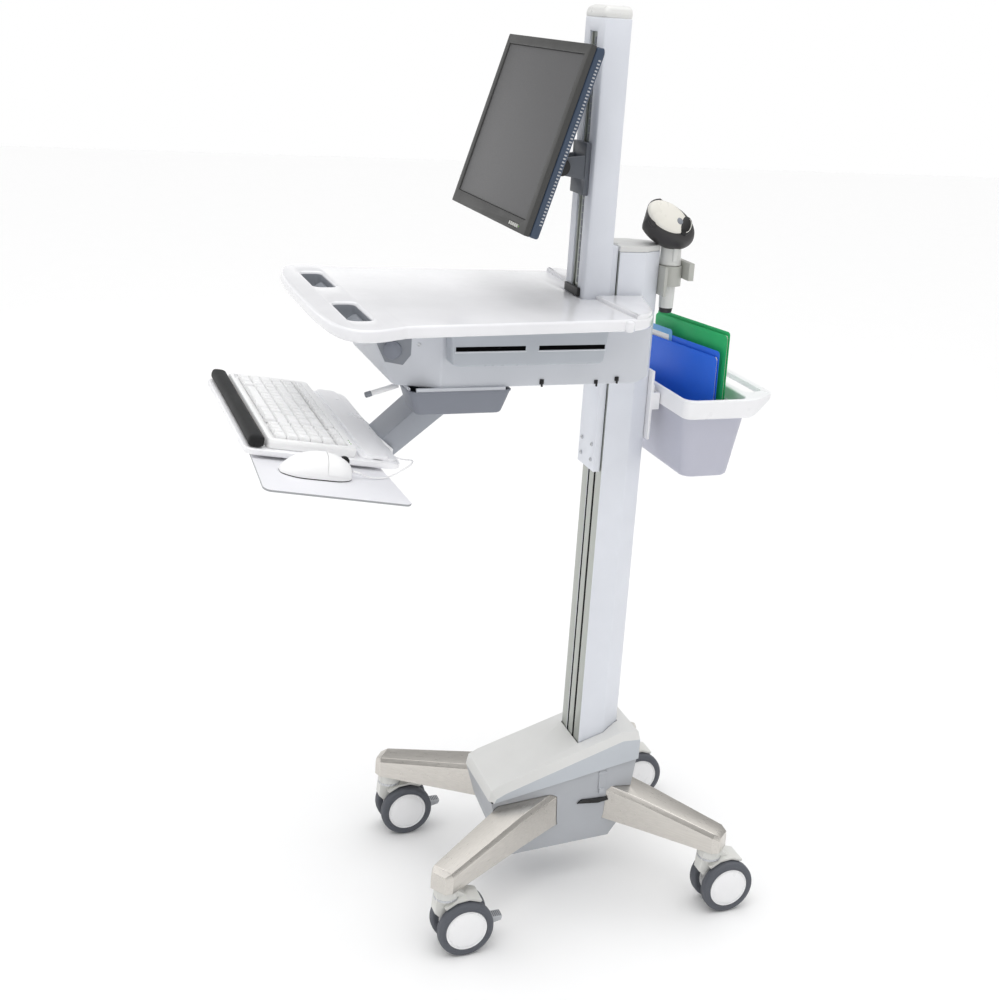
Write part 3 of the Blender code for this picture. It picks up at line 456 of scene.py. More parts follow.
@dataclass(frozen=True)
class Finish:
    """A finish and its material.

    The base class makes a plastic or paint: two close shades in soft patches, a grain of a real size, and
    edges that have rubbed a little smoother and lighter.
    """

    name: str
    colour: str
    roughness: float = 0.42
    ior: float = 1.49
    coat: float = 0.0
    grain: Grain = Grain.MOULDED
    grain_mm: float = 0.9
    relief: float = 0.3
    patch: float = 0.035
    rub: float = 0.25
    sheen: float = 0.0

    def material(self) -> bpy.types.Material:
        """Makes the finish's material the first time it is asked for.

        Returns:
            The material.
        """
        found = bpy.data.materials.get(self.name)
        if found:
            return found
        made = bpy.data.materials.new(self.name)
        made.use_nodes = True
        tree = made.node_tree
        tree.nodes.clear()
        shader = add_node(tree, "ShaderNodeBsdfPrincipled",
                {"IOR": self.ior, "Coat Weight": self.coat, "Coat Roughness": 0.08,
                "Sheen Weight": self.sheen})
        add_node(tree, "ShaderNodeOutputMaterial", {"Surface": shader.outputs["BSDF"]})
        place = add_node(tree, "ShaderNodeTexCoord").outputs["Object"]
        self.pattern(tree, shader, place)
        made.diffuse_color = linear(self.colour)
        return made

    def shade(self, share: float) -> tuple[float, float, float, float]:
        """The colour made lighter or darker by a share of itself."""
        r, g, b, a = linear(self.colour)
        return (min(r * (1 + share), 1.0), min(g * (1 + share), 1.0), min(b * (1 + share), 1.0), a)

    def wander(self, tree: bpy.types.NodeTree, place: Any, size_mm: float, detail: float, low: float,
               high: float) -> Any:
        """A value that wanders between two limits, in patches of a real size.

        Args:
            tree: The material's tree.
            place: The coordinates that it follows.
            size_mm: How far across a patch is.
            detail: Octaves of finer variation.
            low: The value in the noise's troughs.
            high: The value on its crests.

        Returns:
            The value's socket.
        """
        noise = add_node(tree, "ShaderNodeTexNoise", {"Vector": place, "Scale": NOISE_MM / size_mm,
                "Detail": detail, "Roughness": 0.55})
        return add_node(tree, "ShaderNodeMapRange", {
            "Value": noise.outputs["Fac"], "From Min": TROUGH, "From Max": CREST, "To Min": low,
            "To Max": high}).outputs["Result"]

    def pattern(self, tree: bpy.types.NodeTree, shader: bpy.types.Node, place: Any) -> None:
        """Sets colour, roughness and relief.

        Args:
            tree: The material's tree.
            shader: Its Principled node.
            place: Object coordinates.
        """
        base = add_node(tree, "ShaderNodeMix", {
            "Factor_Float": self.wander(tree, place, 70.0, 5.0, 0.0, 1.0), "A_Color": self.shade(-self.patch),
            "B_Color": self.shade(self.patch)}, data_type="RGBA").outputs[2]
        edge = add_node(tree, "ShaderNodeAttribute", attribute_name="edge").outputs["Fac"]
        scuffs = self.wander(tree, place, 6.0, 3.0, 0.0, 1.0)
        rubbed = add_node(tree, "ShaderNodeMath", {0: edge, 1: scuffs}, operation="MULTIPLY").outputs[0]
        rubbed = add_node(tree, "ShaderNodeMath", {0: rubbed, 1: self.rub}, operation="MULTIPLY").outputs[0]
        colour = add_node(tree, "ShaderNodeMix", {"Factor_Float": rubbed, "A_Color": base,
                "B_Color": self.shade(0.25)}, data_type="RGBA")
        tree.links.new(colour.outputs[2], shader.inputs["Base Color"])
        smear = self.wander(tree, place, 22.0, 6.0, self.roughness - 0.05, self.roughness + 0.06)
        smoother = add_node(tree, "ShaderNodeMath", {0: smear, 1: rubbed}, operation="SUBTRACT").outputs[0]
        rough = add_node(tree, "ShaderNodeMath", {0: smoother, 1: 0.04}, operation="MAXIMUM").outputs[0]
        tree.links.new(rough, shader.inputs["Roughness"])
        if self.grain is Grain.MOULDED:
            cells = add_node(tree, "ShaderNodeTexVoronoi", {"Vector": place, "Scale": 1000.0 / self.grain_mm},
                    feature="SMOOTH_F1")
            height, depth = cells.outputs["Distance"], 0.08
        else:
            size_mm, detail, depth, upright = {
                Grain.GLOSS: (9.0, 1.0, 0.1, 1.0), Grain.POWDER: (2.2, 2.0, 0.06, 1.0),
                Grain.FIBRE: (self.grain_mm, 6.0, 0.15, 0.35)}[self.grain]
            stretched = add_node(tree, "ShaderNodeMapping", {"Vector": place, "Scale": (1.0, 1.0, upright)})
            height = add_node(tree, "ShaderNodeTexNoise", {
                "Vector": stretched.outputs[0], "Scale": NOISE_MM / size_mm, "Detail": detail,
                "Roughness": 0.55}).outputs["Fac"]
        bump = add_node(tree, "ShaderNodeBump", {"Height": height, "Strength": self.relief,
                "Distance": depth * MM})
        tree.links.new(bump.outputs["Normal"], shader.inputs["Normal"])


@dataclass(frozen=True)
class BrushedMetal(Finish):
    """Aluminium brushed along one direction, with fine lines and a bright grain."""

    ior: float = 1.5
    lines_mm: float = 0.6
    along: Lines = Lines.UPRIGHT
    centre: tuple[float, float] = (0.0, 0.0)

    def pattern(self, tree: bpy.types.NodeTree, shader: bpy.types.Node, place: Any) -> None:
        """Sets colour, roughness and relief from stretched lines.

        Args:
            tree: The material's tree.
            shader: Its Principled node.
            place: Object coordinates.
        """
        shader.inputs["Metallic"].default_value = 1.0
        fine, long = NOISE_MM / self.lines_mm, 5.0
        if self.along is Lines.FROM_HUB:
            # The lines follow each arm.
            split = add_node(tree, "ShaderNodeSeparateXYZ", {0: place})
            dx = add_node(tree, "ShaderNodeMath", {0: split.outputs[0], 1: self.centre[0]}, operation="SUBTRACT")
            dy = add_node(tree, "ShaderNodeMath", {0: split.outputs[1], 1: self.centre[1]}, operation="SUBTRACT")
            turn = add_node(tree, "ShaderNodeMath", {0: dy.outputs[0], 1: dx.outputs[0]}, operation="ARCTAN2")
            around = add_node(tree, "ShaderNodeMath", {0: turn.outputs[0], 1: 0.25}, operation="MULTIPLY")
            squares = add_node(tree, "ShaderNodeMath", {0: dx.outputs[0], 1: 2.0}, operation="POWER")
            more = add_node(tree, "ShaderNodeMath", {0: dy.outputs[0], 1: 2.0}, operation="POWER")
            both = add_node(tree, "ShaderNodeMath", {0: squares.outputs[0], 1: more.outputs[0]}, operation="ADD")
            out = add_node(tree, "ShaderNodeMath", {0: both.outputs[0], 1: 0.5}, operation="POWER")
            place = add_node(tree, "ShaderNodeCombineXYZ", {0: out.outputs[0], 1: around.outputs[0],
                    2: split.outputs[2]}).outputs[0]
        scale = (fine, fine, long) if self.along is Lines.UPRIGHT else (long, fine, fine)
        mapped = add_node(tree, "ShaderNodeMapping", {"Vector": place, "Scale": scale}).outputs[0]
        lines = add_node(tree, "ShaderNodeTexNoise", {"Vector": mapped, "Scale": 1.0, "Detail": 3.0}).outputs["Fac"]
        streaks = add_node(tree, "ShaderNodeMapRange", {"Value": lines, "From Min": TROUGH, "From Max": CREST})
        tone = add_node(tree, "ShaderNodeMix", {
            "Factor_Float": streaks.outputs["Result"], "A_Color": self.shade(-0.05), "B_Color": self.shade(0.05)},
            data_type="RGBA").outputs[2]
        edge = add_node(tree, "ShaderNodeAttribute", attribute_name="edge").outputs["Fac"]
        shine = add_node(tree, "ShaderNodeMath", {0: edge, 1: self.rub}, operation="MULTIPLY").outputs[0]
        colour = add_node(tree, "ShaderNodeMix", {"Factor_Float": shine, "A_Color": tone,
                "B_Color": self.shade(0.35)}, data_type="RGBA")
        tree.links.new(colour.outputs[2], shader.inputs["Base Color"])
        rough = add_node(tree, "ShaderNodeMapRange", {
            "Value": lines, "From Min": TROUGH, "From Max": CREST, "To Min": self.roughness - 0.03,
            "To Max": self.roughness + 0.04}).outputs["Result"]
        rough = add_node(tree, "ShaderNodeMath", {0: rough, 1: shine}, operation="SUBTRACT").outputs[0]
        rough = add_node(tree, "ShaderNodeMath", {0: rough, 1: 0.05}, operation="MAXIMUM").outputs[0]
        tree.links.new(rough, shader.inputs["Roughness"])
        bump = add_node(tree, "ShaderNodeBump", {"Height": lines, "Strength": self.relief, "Distance": 0.05 * MM})
        tree.links.new(bump.outputs["Normal"], shader.inputs["Normal"])


@dataclass(frozen=True)
class ScreenReflection(Finish):
    """The display's anti-glare film, which is near black; its grey, the gradient up it and the haze are painted
    reflection.
    """

    def pattern(self, tree: bpy.types.NodeTree, shader: bpy.types.Node, place: Any) -> None:
        """Paints the reflection as a soft gradient up the panel, lighter at its foot, and a fine haze of lighter
        patches.

        Args:
            tree: The material's tree.
            shader: Its Principled node.
            place: Object coordinates.
        """
        foot, top = 1.25, 1.54
        height = add_node(tree, "ShaderNodeSeparateXYZ", {0: place}).outputs[2]
        # Painted reflection: lighter at the foot, darker at the top.
        rise = add_node(tree, "ShaderNodeMapRange", {"Value": height, "From Min": foot, "From Max": top})
        base = add_node(tree, "ShaderNodeMix", {
            "Factor_Float": rise.outputs["Result"], "A_Color": self.shade(0.08), "B_Color": self.shade(-0.1)},
            data_type="RGBA").outputs[2]
        # Painted reflection: lighter patches of haze.
        colour = add_node(tree, "ShaderNodeMix", {
            "Factor_Float": self.wander(tree, place, 30.0, 4.0, 0.0, 0.3), "A_Color": base,
            "B_Color": self.shade(0.06)}, data_type="RGBA")
        tree.links.new(colour.outputs[2], shader.inputs["Base Color"])
        fine = add_node(tree, "ShaderNodeTexNoise", {"Vector": place, "Scale": NOISE_MM / 0.8, "Detail": 1.0,
                "Roughness": 0.55}).outputs["Fac"]
        rough = add_node(tree, "ShaderNodeMapRange", {
            "Value": fine, "From Min": TROUGH, "From Max": CREST, "To Min": self.roughness - 0.03,
            "To Max": self.roughness + 0.05})
        tree.links.new(rough.outputs["Result"], shader.inputs["Roughness"])
        bump = add_node(tree, "ShaderNodeBump", {"Height": fine, "Strength": 0.05, "Distance": 0.02 * MM})
        tree.links.new(bump.outputs["Normal"], shader.inputs["Normal"])


#: The middle of the cast base, from which the arms run out.
HUB = (AXIS.x, AXIS.y - 0.04)
# Die-cast aluminium arms, linished along their length and clear lacquered: soft grey with bright lines.
CAST_ARM = BrushedMetal("linished_cast_aluminium", "#d0ccc6", 0.3, relief=0.05, rub=0.22, lines_mm=1.1,
        along=Lines.FROM_HUB, centre=HUB)
# Anodised extrusion: fine vertical drawing lines, grey and even.
ANODISED = BrushedMetal("clear_anodised_extrusion", "#b2b5b0", 0.42, relief=0.25, rub=0.1, lines_mm=0.9)
# Bright pin-points of hardware.
BRIGHT_STEEL = BrushedMetal("zinc_plated_steel", "#c4c6c9", 0.28, relief=0.1, rub=0.1, lines_mm=0.7,
                            along=Lines.CROSSWISE)
# Polyester powder coat on the columns: a cool off-white with slight orange peel.
COLUMN_COAT = Finish("cool_white_powder_coat", "#e2e5ec", 0.38, grain=Grain.POWDER, rub=0.1)
# Injection-moulded ABS covers with a fine spark texture.
COVER_ABS = Finish("warm_white_moulded_abs", "#dededc", 0.46)
# Painted shade: a cooler, darker grey for the cover's flanks, which are the same plastic as its top.
COVER_SIDE_SHADE = Finish("cover_side_painted_shade", "#c3c8ce", 0.48)  # cooler, darker flanks
TUB_ABS = Finish("grey_moulded_abs", "#b3b6bb", 0.5)  # a darker grey below the cover
# The glossiest, whitest plane.
DESK_GLOSS = Finish("gloss_white_polycarbonate", "#eeeef1", 0.16, coat=0.35, grain=Grain.GLOSS, relief=0.1, rub=0.1)
UNDER_ABS = Finish("pale_grey_moulded_abs", "#cdd0d6", 0.48)  # soft grey under the desk
LEVER_NYLON = Finish("grey_glass_filled_nylon", "#858990", 0.5, relief=0.35)  # matt grey, reads as a control
HOLDER_ABS = Finish("slate_moulded_abs", "#7f838d", 0.44)  # slate that drops back in shade
ARM_COAT = Finish("grey_powder_coated_steel", "#a4a8b0", 0.42, grain=Grain.POWDER)  # mid grey, faint orange peel
TRAY_ABS = Finish("satin_white_abs", "#f8f8fa", 0.3, grain=Grain.GLOSS, relief=0.1)  # near-white satin sheet
KEY_ABS = Finish("white_key_abs", "#f8f8f8", 0.42, relief=0.2)  # matt white on the satin tray
MOUSE_TRAY_ABS = Finish("light_grey_phenolic", "#e6e6ea", 0.4)  # a thin, greyer sheet
TRAY_CORE = Finish("grey_laminate_edge", "#a0a2a5", 0.5)  # a darker line round the sheet
# Dull black that soaks up light.
BLACK_RUBBER = Finish("black_nitrile_foam", "#101112", 0.8, grain_mm=1.6, relief=0.45, sheen=0.05, rub=0.1)
TYRE_PU = Finish("grey_polyurethane_tread", "#55585f", 0.55, grain_mm=1.3, rub=0.35)  # charcoal rings, worn paler
# White discs in dark tyres.
HUB_NYLON = Finish("white_nylon_hub", "#f2f2f3", 0.3, grain=Grain.GLOSS, relief=0.1, rub=0.1)
CASTER_NYLON = Finish("pale_grey_nylon", "#dadad6", 0.4)  # pale, warm fork covers
PEDAL_NYLON = Finish("mid_grey_nylon", "#b4b6ba", 0.42)  # a step darker than the fork
BLACK_ABS = Finish("black_moulded_abs", "#0c0c0d", 0.45)  # small black trim and ports
# Painted shadow of the card slots: thin near-black strips on the pods' faces stand in for the shade inside openings
# that are not cut.
SLOT_SHADOW = Finish("painted_slot_shadow", "#060607", 0.95, ior=1.12, grain=Grain.FIBRE, relief=0.3, rub=0.0)
# Painted shade: the pods are greyer than the underbody to stand in for the shade on their side faces.
POD_SHADED_ABS = Finish("pod_grey_painted_shade", "#b0b5bc", 0.46)  # grey band round the slots
# Blue-tinged dark screen back.
SHELL_ABS = Finish("charcoal_blue_moulded_abs", "#38465a", 0.42, relief=0.4, rub=0.15)
BEZEL_ABS = Finish("charcoal_textured_abs", "#3d3d3c", 0.55, relief=0.35, rub=0.15)  # dark textured frame, no shine
# Painted reflection: the grey and its soft sheen stand in for what the near-black screen reflects.
SCREEN_REFLECTION = ScreenReflection("screen_painted_reflection", "#565657", 0.5)  # flat grey with a soft sheen
# Dark grey, speckled.
BRACKET_COAT = Finish("dark_grey_powder_coat", "#5f636a", 0.45, grain=Grain.POWDER, relief=0.35)
# A bright rolled rim.
BIN_GLOSS = Finish("white_moulded_polypropylene", "#f3f3f5", 0.3, grain=Grain.GLOSS, relief=0.1, rub=0.1)
BIN_TINT = Finish("smoke_lilac_polypropylene", "#bdbecb", 0.36, relief=0.25)  # cool lilac-grey wall
# Saturated, fibrous blue.
BLUE_CARD = Finish("blue_pressboard", "#1d66de", 0.5, grain=Grain.FIBRE, grain_mm=2.0, relief=0.35, patch=0.05)
# Paler blue for the tab.
BLUE_TAB = Finish("pale_blue_pressboard", "#74aede", 0.5, grain=Grain.FIBRE, grain_mm=2.0, relief=0.3)
# Saturated, fibrous green.
GREEN_CARD = Finish("green_pressboard", "#22b067", 0.52, grain=Grain.FIBRE, grain_mm=2.0, relief=0.35, patch=0.05)
PAPER = Finish("white_bond_paper", "#f3f1ea", 0.6, grain=Grain.FIBRE, grain_mm=1.2, relief=0.2)  # warm white pages
# Smooth off-white body.
SCANNER_SHELL = Finish("bone_white_polycarbonate", "#dfe0dd", 0.32, grain=Grain.GLOSS, relief=0.1)
# Warmer cap than the body.
SCANNER_TOP = Finish("warm_white_polycarbonate", "#e9e6dd", 0.3, grain=Grain.GLOSS, relief=0.1)
SCANNER_GRIP = Finish("black_overmould", "#312f30", 0.5, relief=0.35)  # soft dark band
HOLDER_LIGHT = Finish("stone_grey_abs", "#b9bab4", 0.45)  # stone grey clamp
LED_GREEN = Finish("green_lens", "#7fbf4a", 0.2, grain=Grain.GLOSS, relief=0.05)  # pin-prick lamps


# Geometry Nodes

class Repeat:
    """A Geometry Nodes tree with named inputs, applied to a carrier mesh."""

    def __init__(self, name: str, inputs: Sequence[tuple[str, str, Any]]) -> None:
        """Makes the tree's interface.

        Args:
            name: The tree's name.
            inputs: Each input's name, socket type and default.
        """
        self.tree = bpy.data.node_groups.new(name, "GeometryNodeTree")
        face = self.tree.interface
        face.new_socket("Geometry", in_out="INPUT", socket_type="NodeSocketGeometry")
        for label, kind, default in inputs:
            socket = face.new_socket(label, in_out="INPUT", socket_type=kind)
            if default is not None:
                socket.default_value = default
        face.new_socket("Geometry", in_out="OUTPUT", socket_type="NodeSocketGeometry")
        self.given = add_node(self.tree, "NodeGroupInput").outputs

    def end(self, instances: Any) -> None:
        """Realises the instances, sets their material and closes the tree.

        Args:
            instances: The instances' socket.
        """
        real = add_node(self.tree, "GeometryNodeRealizeInstances", {"Geometry": instances})
        dressed = add_node(self.tree, "GeometryNodeSetMaterial", {"Geometry": real.outputs[0],
                "Material": self.given["Material"]})
        add_node(self.tree, "NodeGroupOutput", {0: dressed.outputs[0]})

    def make(self, name: str, values: dict[str, Any], carrier: Optional[Mesh] = None) -> Mesh:
        """Evaluates the tree once.

        Args:
            name: The result's name.
            values: Input names and values.
            carrier: The mesh that the tree works on, if it needs one.

        Returns:
            The plain mesh.
        """
        obj = bpy.data.objects.new(name, carrier or bpy.data.meshes.new(name))
        modifier = obj.modifiers.new("repeat", "NODES")
        modifier.node_group = self.tree
        for item in self.tree.interface.items_tree:
            if item.item_type == "SOCKET" and item.in_out == "INPUT" and item.name in values:
                modifier[item.identifier] = values[item.name]
        return baked(obj)


def build_bar_tree() -> Repeat:
    """Bars, vents, ribs or teeth: boxes with narrowed tops in a straight row.

    Returns:
        The tree.
    """
    row = Repeat("bar_row", [("Start", "NodeSocketVector", (0, 0, 0)), ("End", "NodeSocketVector", (0, 0, 1)),
            ("Count", "NodeSocketInt", 8), ("Size", "NodeSocketVector", (0.01, 0.01, 0.01)),
            ("Taper", "NodeSocketFloat", 0.8),
            ("Material", "NodeSocketMaterial", None)])
    tree, given = row.tree, row.given
    line = add_node(tree, "GeometryNodeMeshLine", {"Count": given["Count"], "Start Location": given["Start"],
            "Offset": given["End"]}, mode="END_POINTS")
    cube = add_node(tree, "GeometryNodeMeshCube", {"Size": given["Size"]})
    normal = add_node(tree, "GeometryNodeInputNormal")
    split = add_node(tree, "ShaderNodeSeparateXYZ", {0: normal.outputs[0]})
    top = add_node(tree, "FunctionNodeCompare", {0: split.outputs[2], 1: 0.5}, operation="GREATER_THAN")
    narrow = add_node(tree, "GeometryNodeScaleElements", {"Geometry": cube.outputs[0], "Selection": top.outputs[0],
            "Scale": given["Taper"]})
    copies = add_node(tree, "GeometryNodeInstanceOnPoints", {"Points": line.outputs[0], "Instance": narrow.outputs[0]})
    row.end(copies.outputs[0])
    return row


def build_key_tree() -> Repeat:
    """A row of keycaps: a skirt, sloping sides and a dished top.

    Returns:
        The tree.
    """
    row = Repeat("key_row", [("Start", "NodeSocketVector", (0, 0, 0)), ("Pitch", "NodeSocketFloat", 0.019),
            ("Count", "NodeSocketInt", 10), ("Width", "NodeSocketFloat", 0.0165),
            ("Depth", "NodeSocketFloat", 0.0165), ("Height", "NodeSocketFloat", 0.006),
            ("Material", "NodeSocketMaterial", None)])
    tree, given = row.tree, row.given
    step = add_node(tree, "ShaderNodeCombineXYZ", {0: given["Pitch"]})
    line = add_node(tree, "GeometryNodeMeshLine", {"Count": given["Count"], "Start Location": given["Start"],
            "Offset": step.outputs[0]}, mode="OFFSET")
    skirt = add_node(tree, "ShaderNodeMath", {0: given["Height"], 1: 0.35}, operation="MULTIPLY")
    size = add_node(tree, "ShaderNodeCombineXYZ", {0: given["Width"], 1: given["Depth"], 2: skirt.outputs[0]})
    cap = add_node(tree, "GeometryNodeMeshCube", {"Size": size.outputs[0]}).outputs[0]
    split = add_node(tree, "ShaderNodeSeparateXYZ", {0: add_node(tree, "GeometryNodeInputNormal").outputs[0]})
    top = add_node(tree, "FunctionNodeCompare", {0: split.outputs[2], 1: 0.5}, operation="GREATER_THAN").outputs[0]
    for rise, scale in ((0.55, 0.84), (0.1, 0.9), (-0.07, 0.72)):
        lift = add_node(tree, "ShaderNodeMath", {0: given["Height"], 1: rise}, operation="MULTIPLY")
        grown = add_node(tree, "GeometryNodeExtrudeMesh", {"Mesh": cap, "Selection": top,
                "Offset Scale": lift.outputs[0]}, mode="FACES")
        top = grown.outputs["Top"]
        cap = add_node(tree, "GeometryNodeScaleElements", {"Geometry": grown.outputs["Mesh"], "Selection": top,
                "Scale": scale}).outputs[0]
    copies = add_node(tree, "GeometryNodeInstanceOnPoints", {"Points": line.outputs[0], "Instance": cap})
    row.end(copies.outputs[0])
    return row


def build_screw_tree() -> Repeat:
    """Button-head screws with a hexagon socket, one on each point of the carrier.

    Returns:
        The tree.
    """
    heads = Repeat("screw_set", [("Radius", "NodeSocketFloat", 0.003), ("Turn", "NodeSocketVector", (0, 0, 0)),
            ("Material", "NodeSocketMaterial", None)])
    tree, given = heads.tree, heads.given
    depth = add_node(tree, "ShaderNodeMath", {0: given["Radius"], 1: 0.5}, operation="MULTIPLY")
    head = add_node(tree, "GeometryNodeMeshCylinder", {"Vertices": 18, "Radius": given["Radius"],
            "Depth": depth.outputs[0]}).outputs[0]
    split = add_node(tree, "ShaderNodeSeparateXYZ", {0: add_node(tree, "GeometryNodeInputNormal").outputs[0]})
    top = add_node(tree, "FunctionNodeCompare", {0: split.outputs[2], 1: 0.5}, operation="GREATER_THAN").outputs[0]
    for rise, scale in ((0.16, 0.88), (0.1, 0.7), (0.0001, 0.72), (-0.35, 0.98)):
        lift = add_node(tree, "ShaderNodeMath", {0: given["Radius"], 1: rise}, operation="MULTIPLY")
        grown = add_node(tree, "GeometryNodeExtrudeMesh", {"Mesh": head, "Selection": top,
                "Offset Scale": lift.outputs[0]}, mode="FACES")
        top = grown.outputs["Top"]
        head = add_node(tree, "GeometryNodeScaleElements", {"Geometry": grown.outputs["Mesh"], "Selection": top,
                "Scale": scale}).outputs[0]
    turn = add_node(tree, "FunctionNodeEulerToRotation", {0: given["Turn"]})
    copies = add_node(tree, "GeometryNodeInstanceOnPoints", {"Points": given["Geometry"], "Instance": head,
            "Rotation": turn.outputs[0]})
    heads.end(copies.outputs[0])
    return heads


def build_ring_tree() -> Repeat:
    """Blocks spaced evenly round a circle about the X axis, each turned to face out.

    Returns:
        The tree.
    """
    ring = Repeat("ring_row", [("Centre", "NodeSocketVector", (0, 0, 0)), ("Radius", "NodeSocketFloat", 0.02),
            ("Count", "NodeSocketInt", 12), ("Size", "NodeSocketVector", (0.01, 0.01, 0.01)),
            ("Material", "NodeSocketMaterial", None)])
    tree, given = ring.tree, ring.given
    circle = add_node(tree, "GeometryNodeMeshCircle", {"Vertices": given["Count"], "Radius": given["Radius"]})
    about = add_node(tree, "GeometryNodeTransform", {"Geometry": circle.outputs[0],
            "Rotation": (0.0, math.radians(90), 0.0)})
    spot = add_node(tree, "GeometryNodeInputPosition")
    facing = add_node(tree, "FunctionNodeAlignRotationToVector", {"Vector": spot.outputs[0]}, axis="Z",
                      pivot_axis="X")
    block = add_node(tree, "GeometryNodeMeshCube", {"Size": given["Size"]})
    copies = add_node(tree, "GeometryNodeInstanceOnPoints", {"Points": about.outputs[0], "Instance": block.outputs[0],
            "Rotation": facing.outputs[0]})
    moved = add_node(tree, "GeometryNodeTransform", {"Geometry": copies.outputs[0], "Translation": given["Centre"]})
    ring.end(moved.outputs[0])
    return ring


BARS, KEYS, SCREWS, RINGS = build_bar_tree(), build_key_tree(), build_screw_tree(), build_ring_tree()


def bar_row(name: str, start: Point, end: Point, count: int, size: Point, finish: Finish,
            taper: float = 0.8) -> Mesh:
    """A straight row of bars."""
    return BARS.make(name, {"Start": tuple(start), "End": tuple(end), "Count": count, "Size": tuple(size),
            "Taper": taper, "Material": finish.material()})


def screws(name: str, points: Sequence[Point], radius: float, turn: Point, finish: Finish) -> Mesh:
    """Screw heads, one on each point.

    Args:
        name: The mesh's name.
        points: The middle of each head.
        radius: Their radius.
        turn: The Euler angle that takes +Z to their axis.
        finish: Their finish.

    Returns:
        The heads.
    """
    carrier = bpy.data.meshes.new(name)
    carrier.from_pydata([tuple(p) for p in points], [], [])
    return SCREWS.make(name, {"Radius": radius, "Turn": tuple(turn), "Material": finish.material()}, carrier)


# Placing pieces

BODY_OF = {node: body for body, nodes in frame["record"]["behaviour"]["bodies"].items() for node in nodes}


def place(name: str, mesh: Mesh, body: str, finish: Finish, slot: Optional[str] = None,
          replaces: Sequence[str] = (), sharp: float = 32.0, world: bool = False,
          paint: Optional[Callable[[bpy.types.MeshPolygon], int]] = None,
          others: Sequence[Finish] = ()) -> bpy.types.Object:
    """Puts a finished mesh on its body.

    Args:
        name: The piece's name.
        mesh: Its mesh, in column-centred sizes unless world is set.
        body: The body it rides on.
        finish: Its finish.
        slot: The record's material slot; not used.
        replaces: CAD nodes that it stands for.
        sharp: Edges over this angle stay sharp, in degrees.
        world: True if the mesh is already in the frame's coordinates.
        paint: Gives each face's finish, 0 for finish and 1 up for others.
        others: Further finishes.

    Returns:
        The piece.
    """
    if not world:
        design(mesh)
    mesh.materials.clear()
    for each in (finish, *others):
        mesh.materials.append(each.material())
    for polygon in mesh.polygons:
        polygon.use_smooth = True
        polygon.material_index = paint(polygon) if paint else 0
    mesh.set_sharp_from_angle(angle=math.radians(sharp))
    obj = bpy.data.objects.new(name, mesh)
    bpy.context.scene.collection.objects.link(obj)
    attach(obj, body)
    if replaces:
        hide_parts(*replaces)
    LOG.info("%s rides on %s", name, body)
    return obj


def refine(node: str, finish: Finish, width: float = 0.001, segments: int = 3, angle: float = 25.0,
           sharp: float = 32.0) -> bpy.types.Object:
    """Stands a copy of a CAD node, with rounded edges and a finish, in its place.

    Args:
        node: The CAD node.
        finish: The copy's finish.
        width: Width of the rounding.
        segments: Faces across it.
        angle: The least angle of an edge that is rounded.
        sharp: Edges over this angle stay sharp in shading.

    Returns:
        The piece.
    """
    mesh = softened(weld_copy(node), width, segments, angle)
    return place(node + "_shown", mesh, BODY_OF[node], finish, replaces=(node,), sharp=sharp, world=True)


def filleted(points: Sequence[tuple[float, float]], radius: float, steps: int = 6) -> list[tuple[float, float]]:
    """Rounds every corner of an outline.

    Args:
        points: The outline.
        radius: How far each rounding reaches, or less where a side is short.
        steps: Segments in each corner.

    Returns:
        The rounded outline.
    """
    found = []
    count = len(points)
    for i in range(count):
        before, here, after = (Vector(points[(i + k) % count]) for k in (-1, 0, 1))
        first, second = before - here, after - here
        reach = min(radius, first.length * 0.45, second.length * 0.45)
        start, end = here + first.normalized() * reach, here + second.normalized() * reach
        for k in range(steps + 1):
            t = k / steps
            point = start * (1 - t) ** 2 + here * 2 * t * (1 - t) + end * t * t
            found.append((point.x, point.y))
    return found


# Base and casters

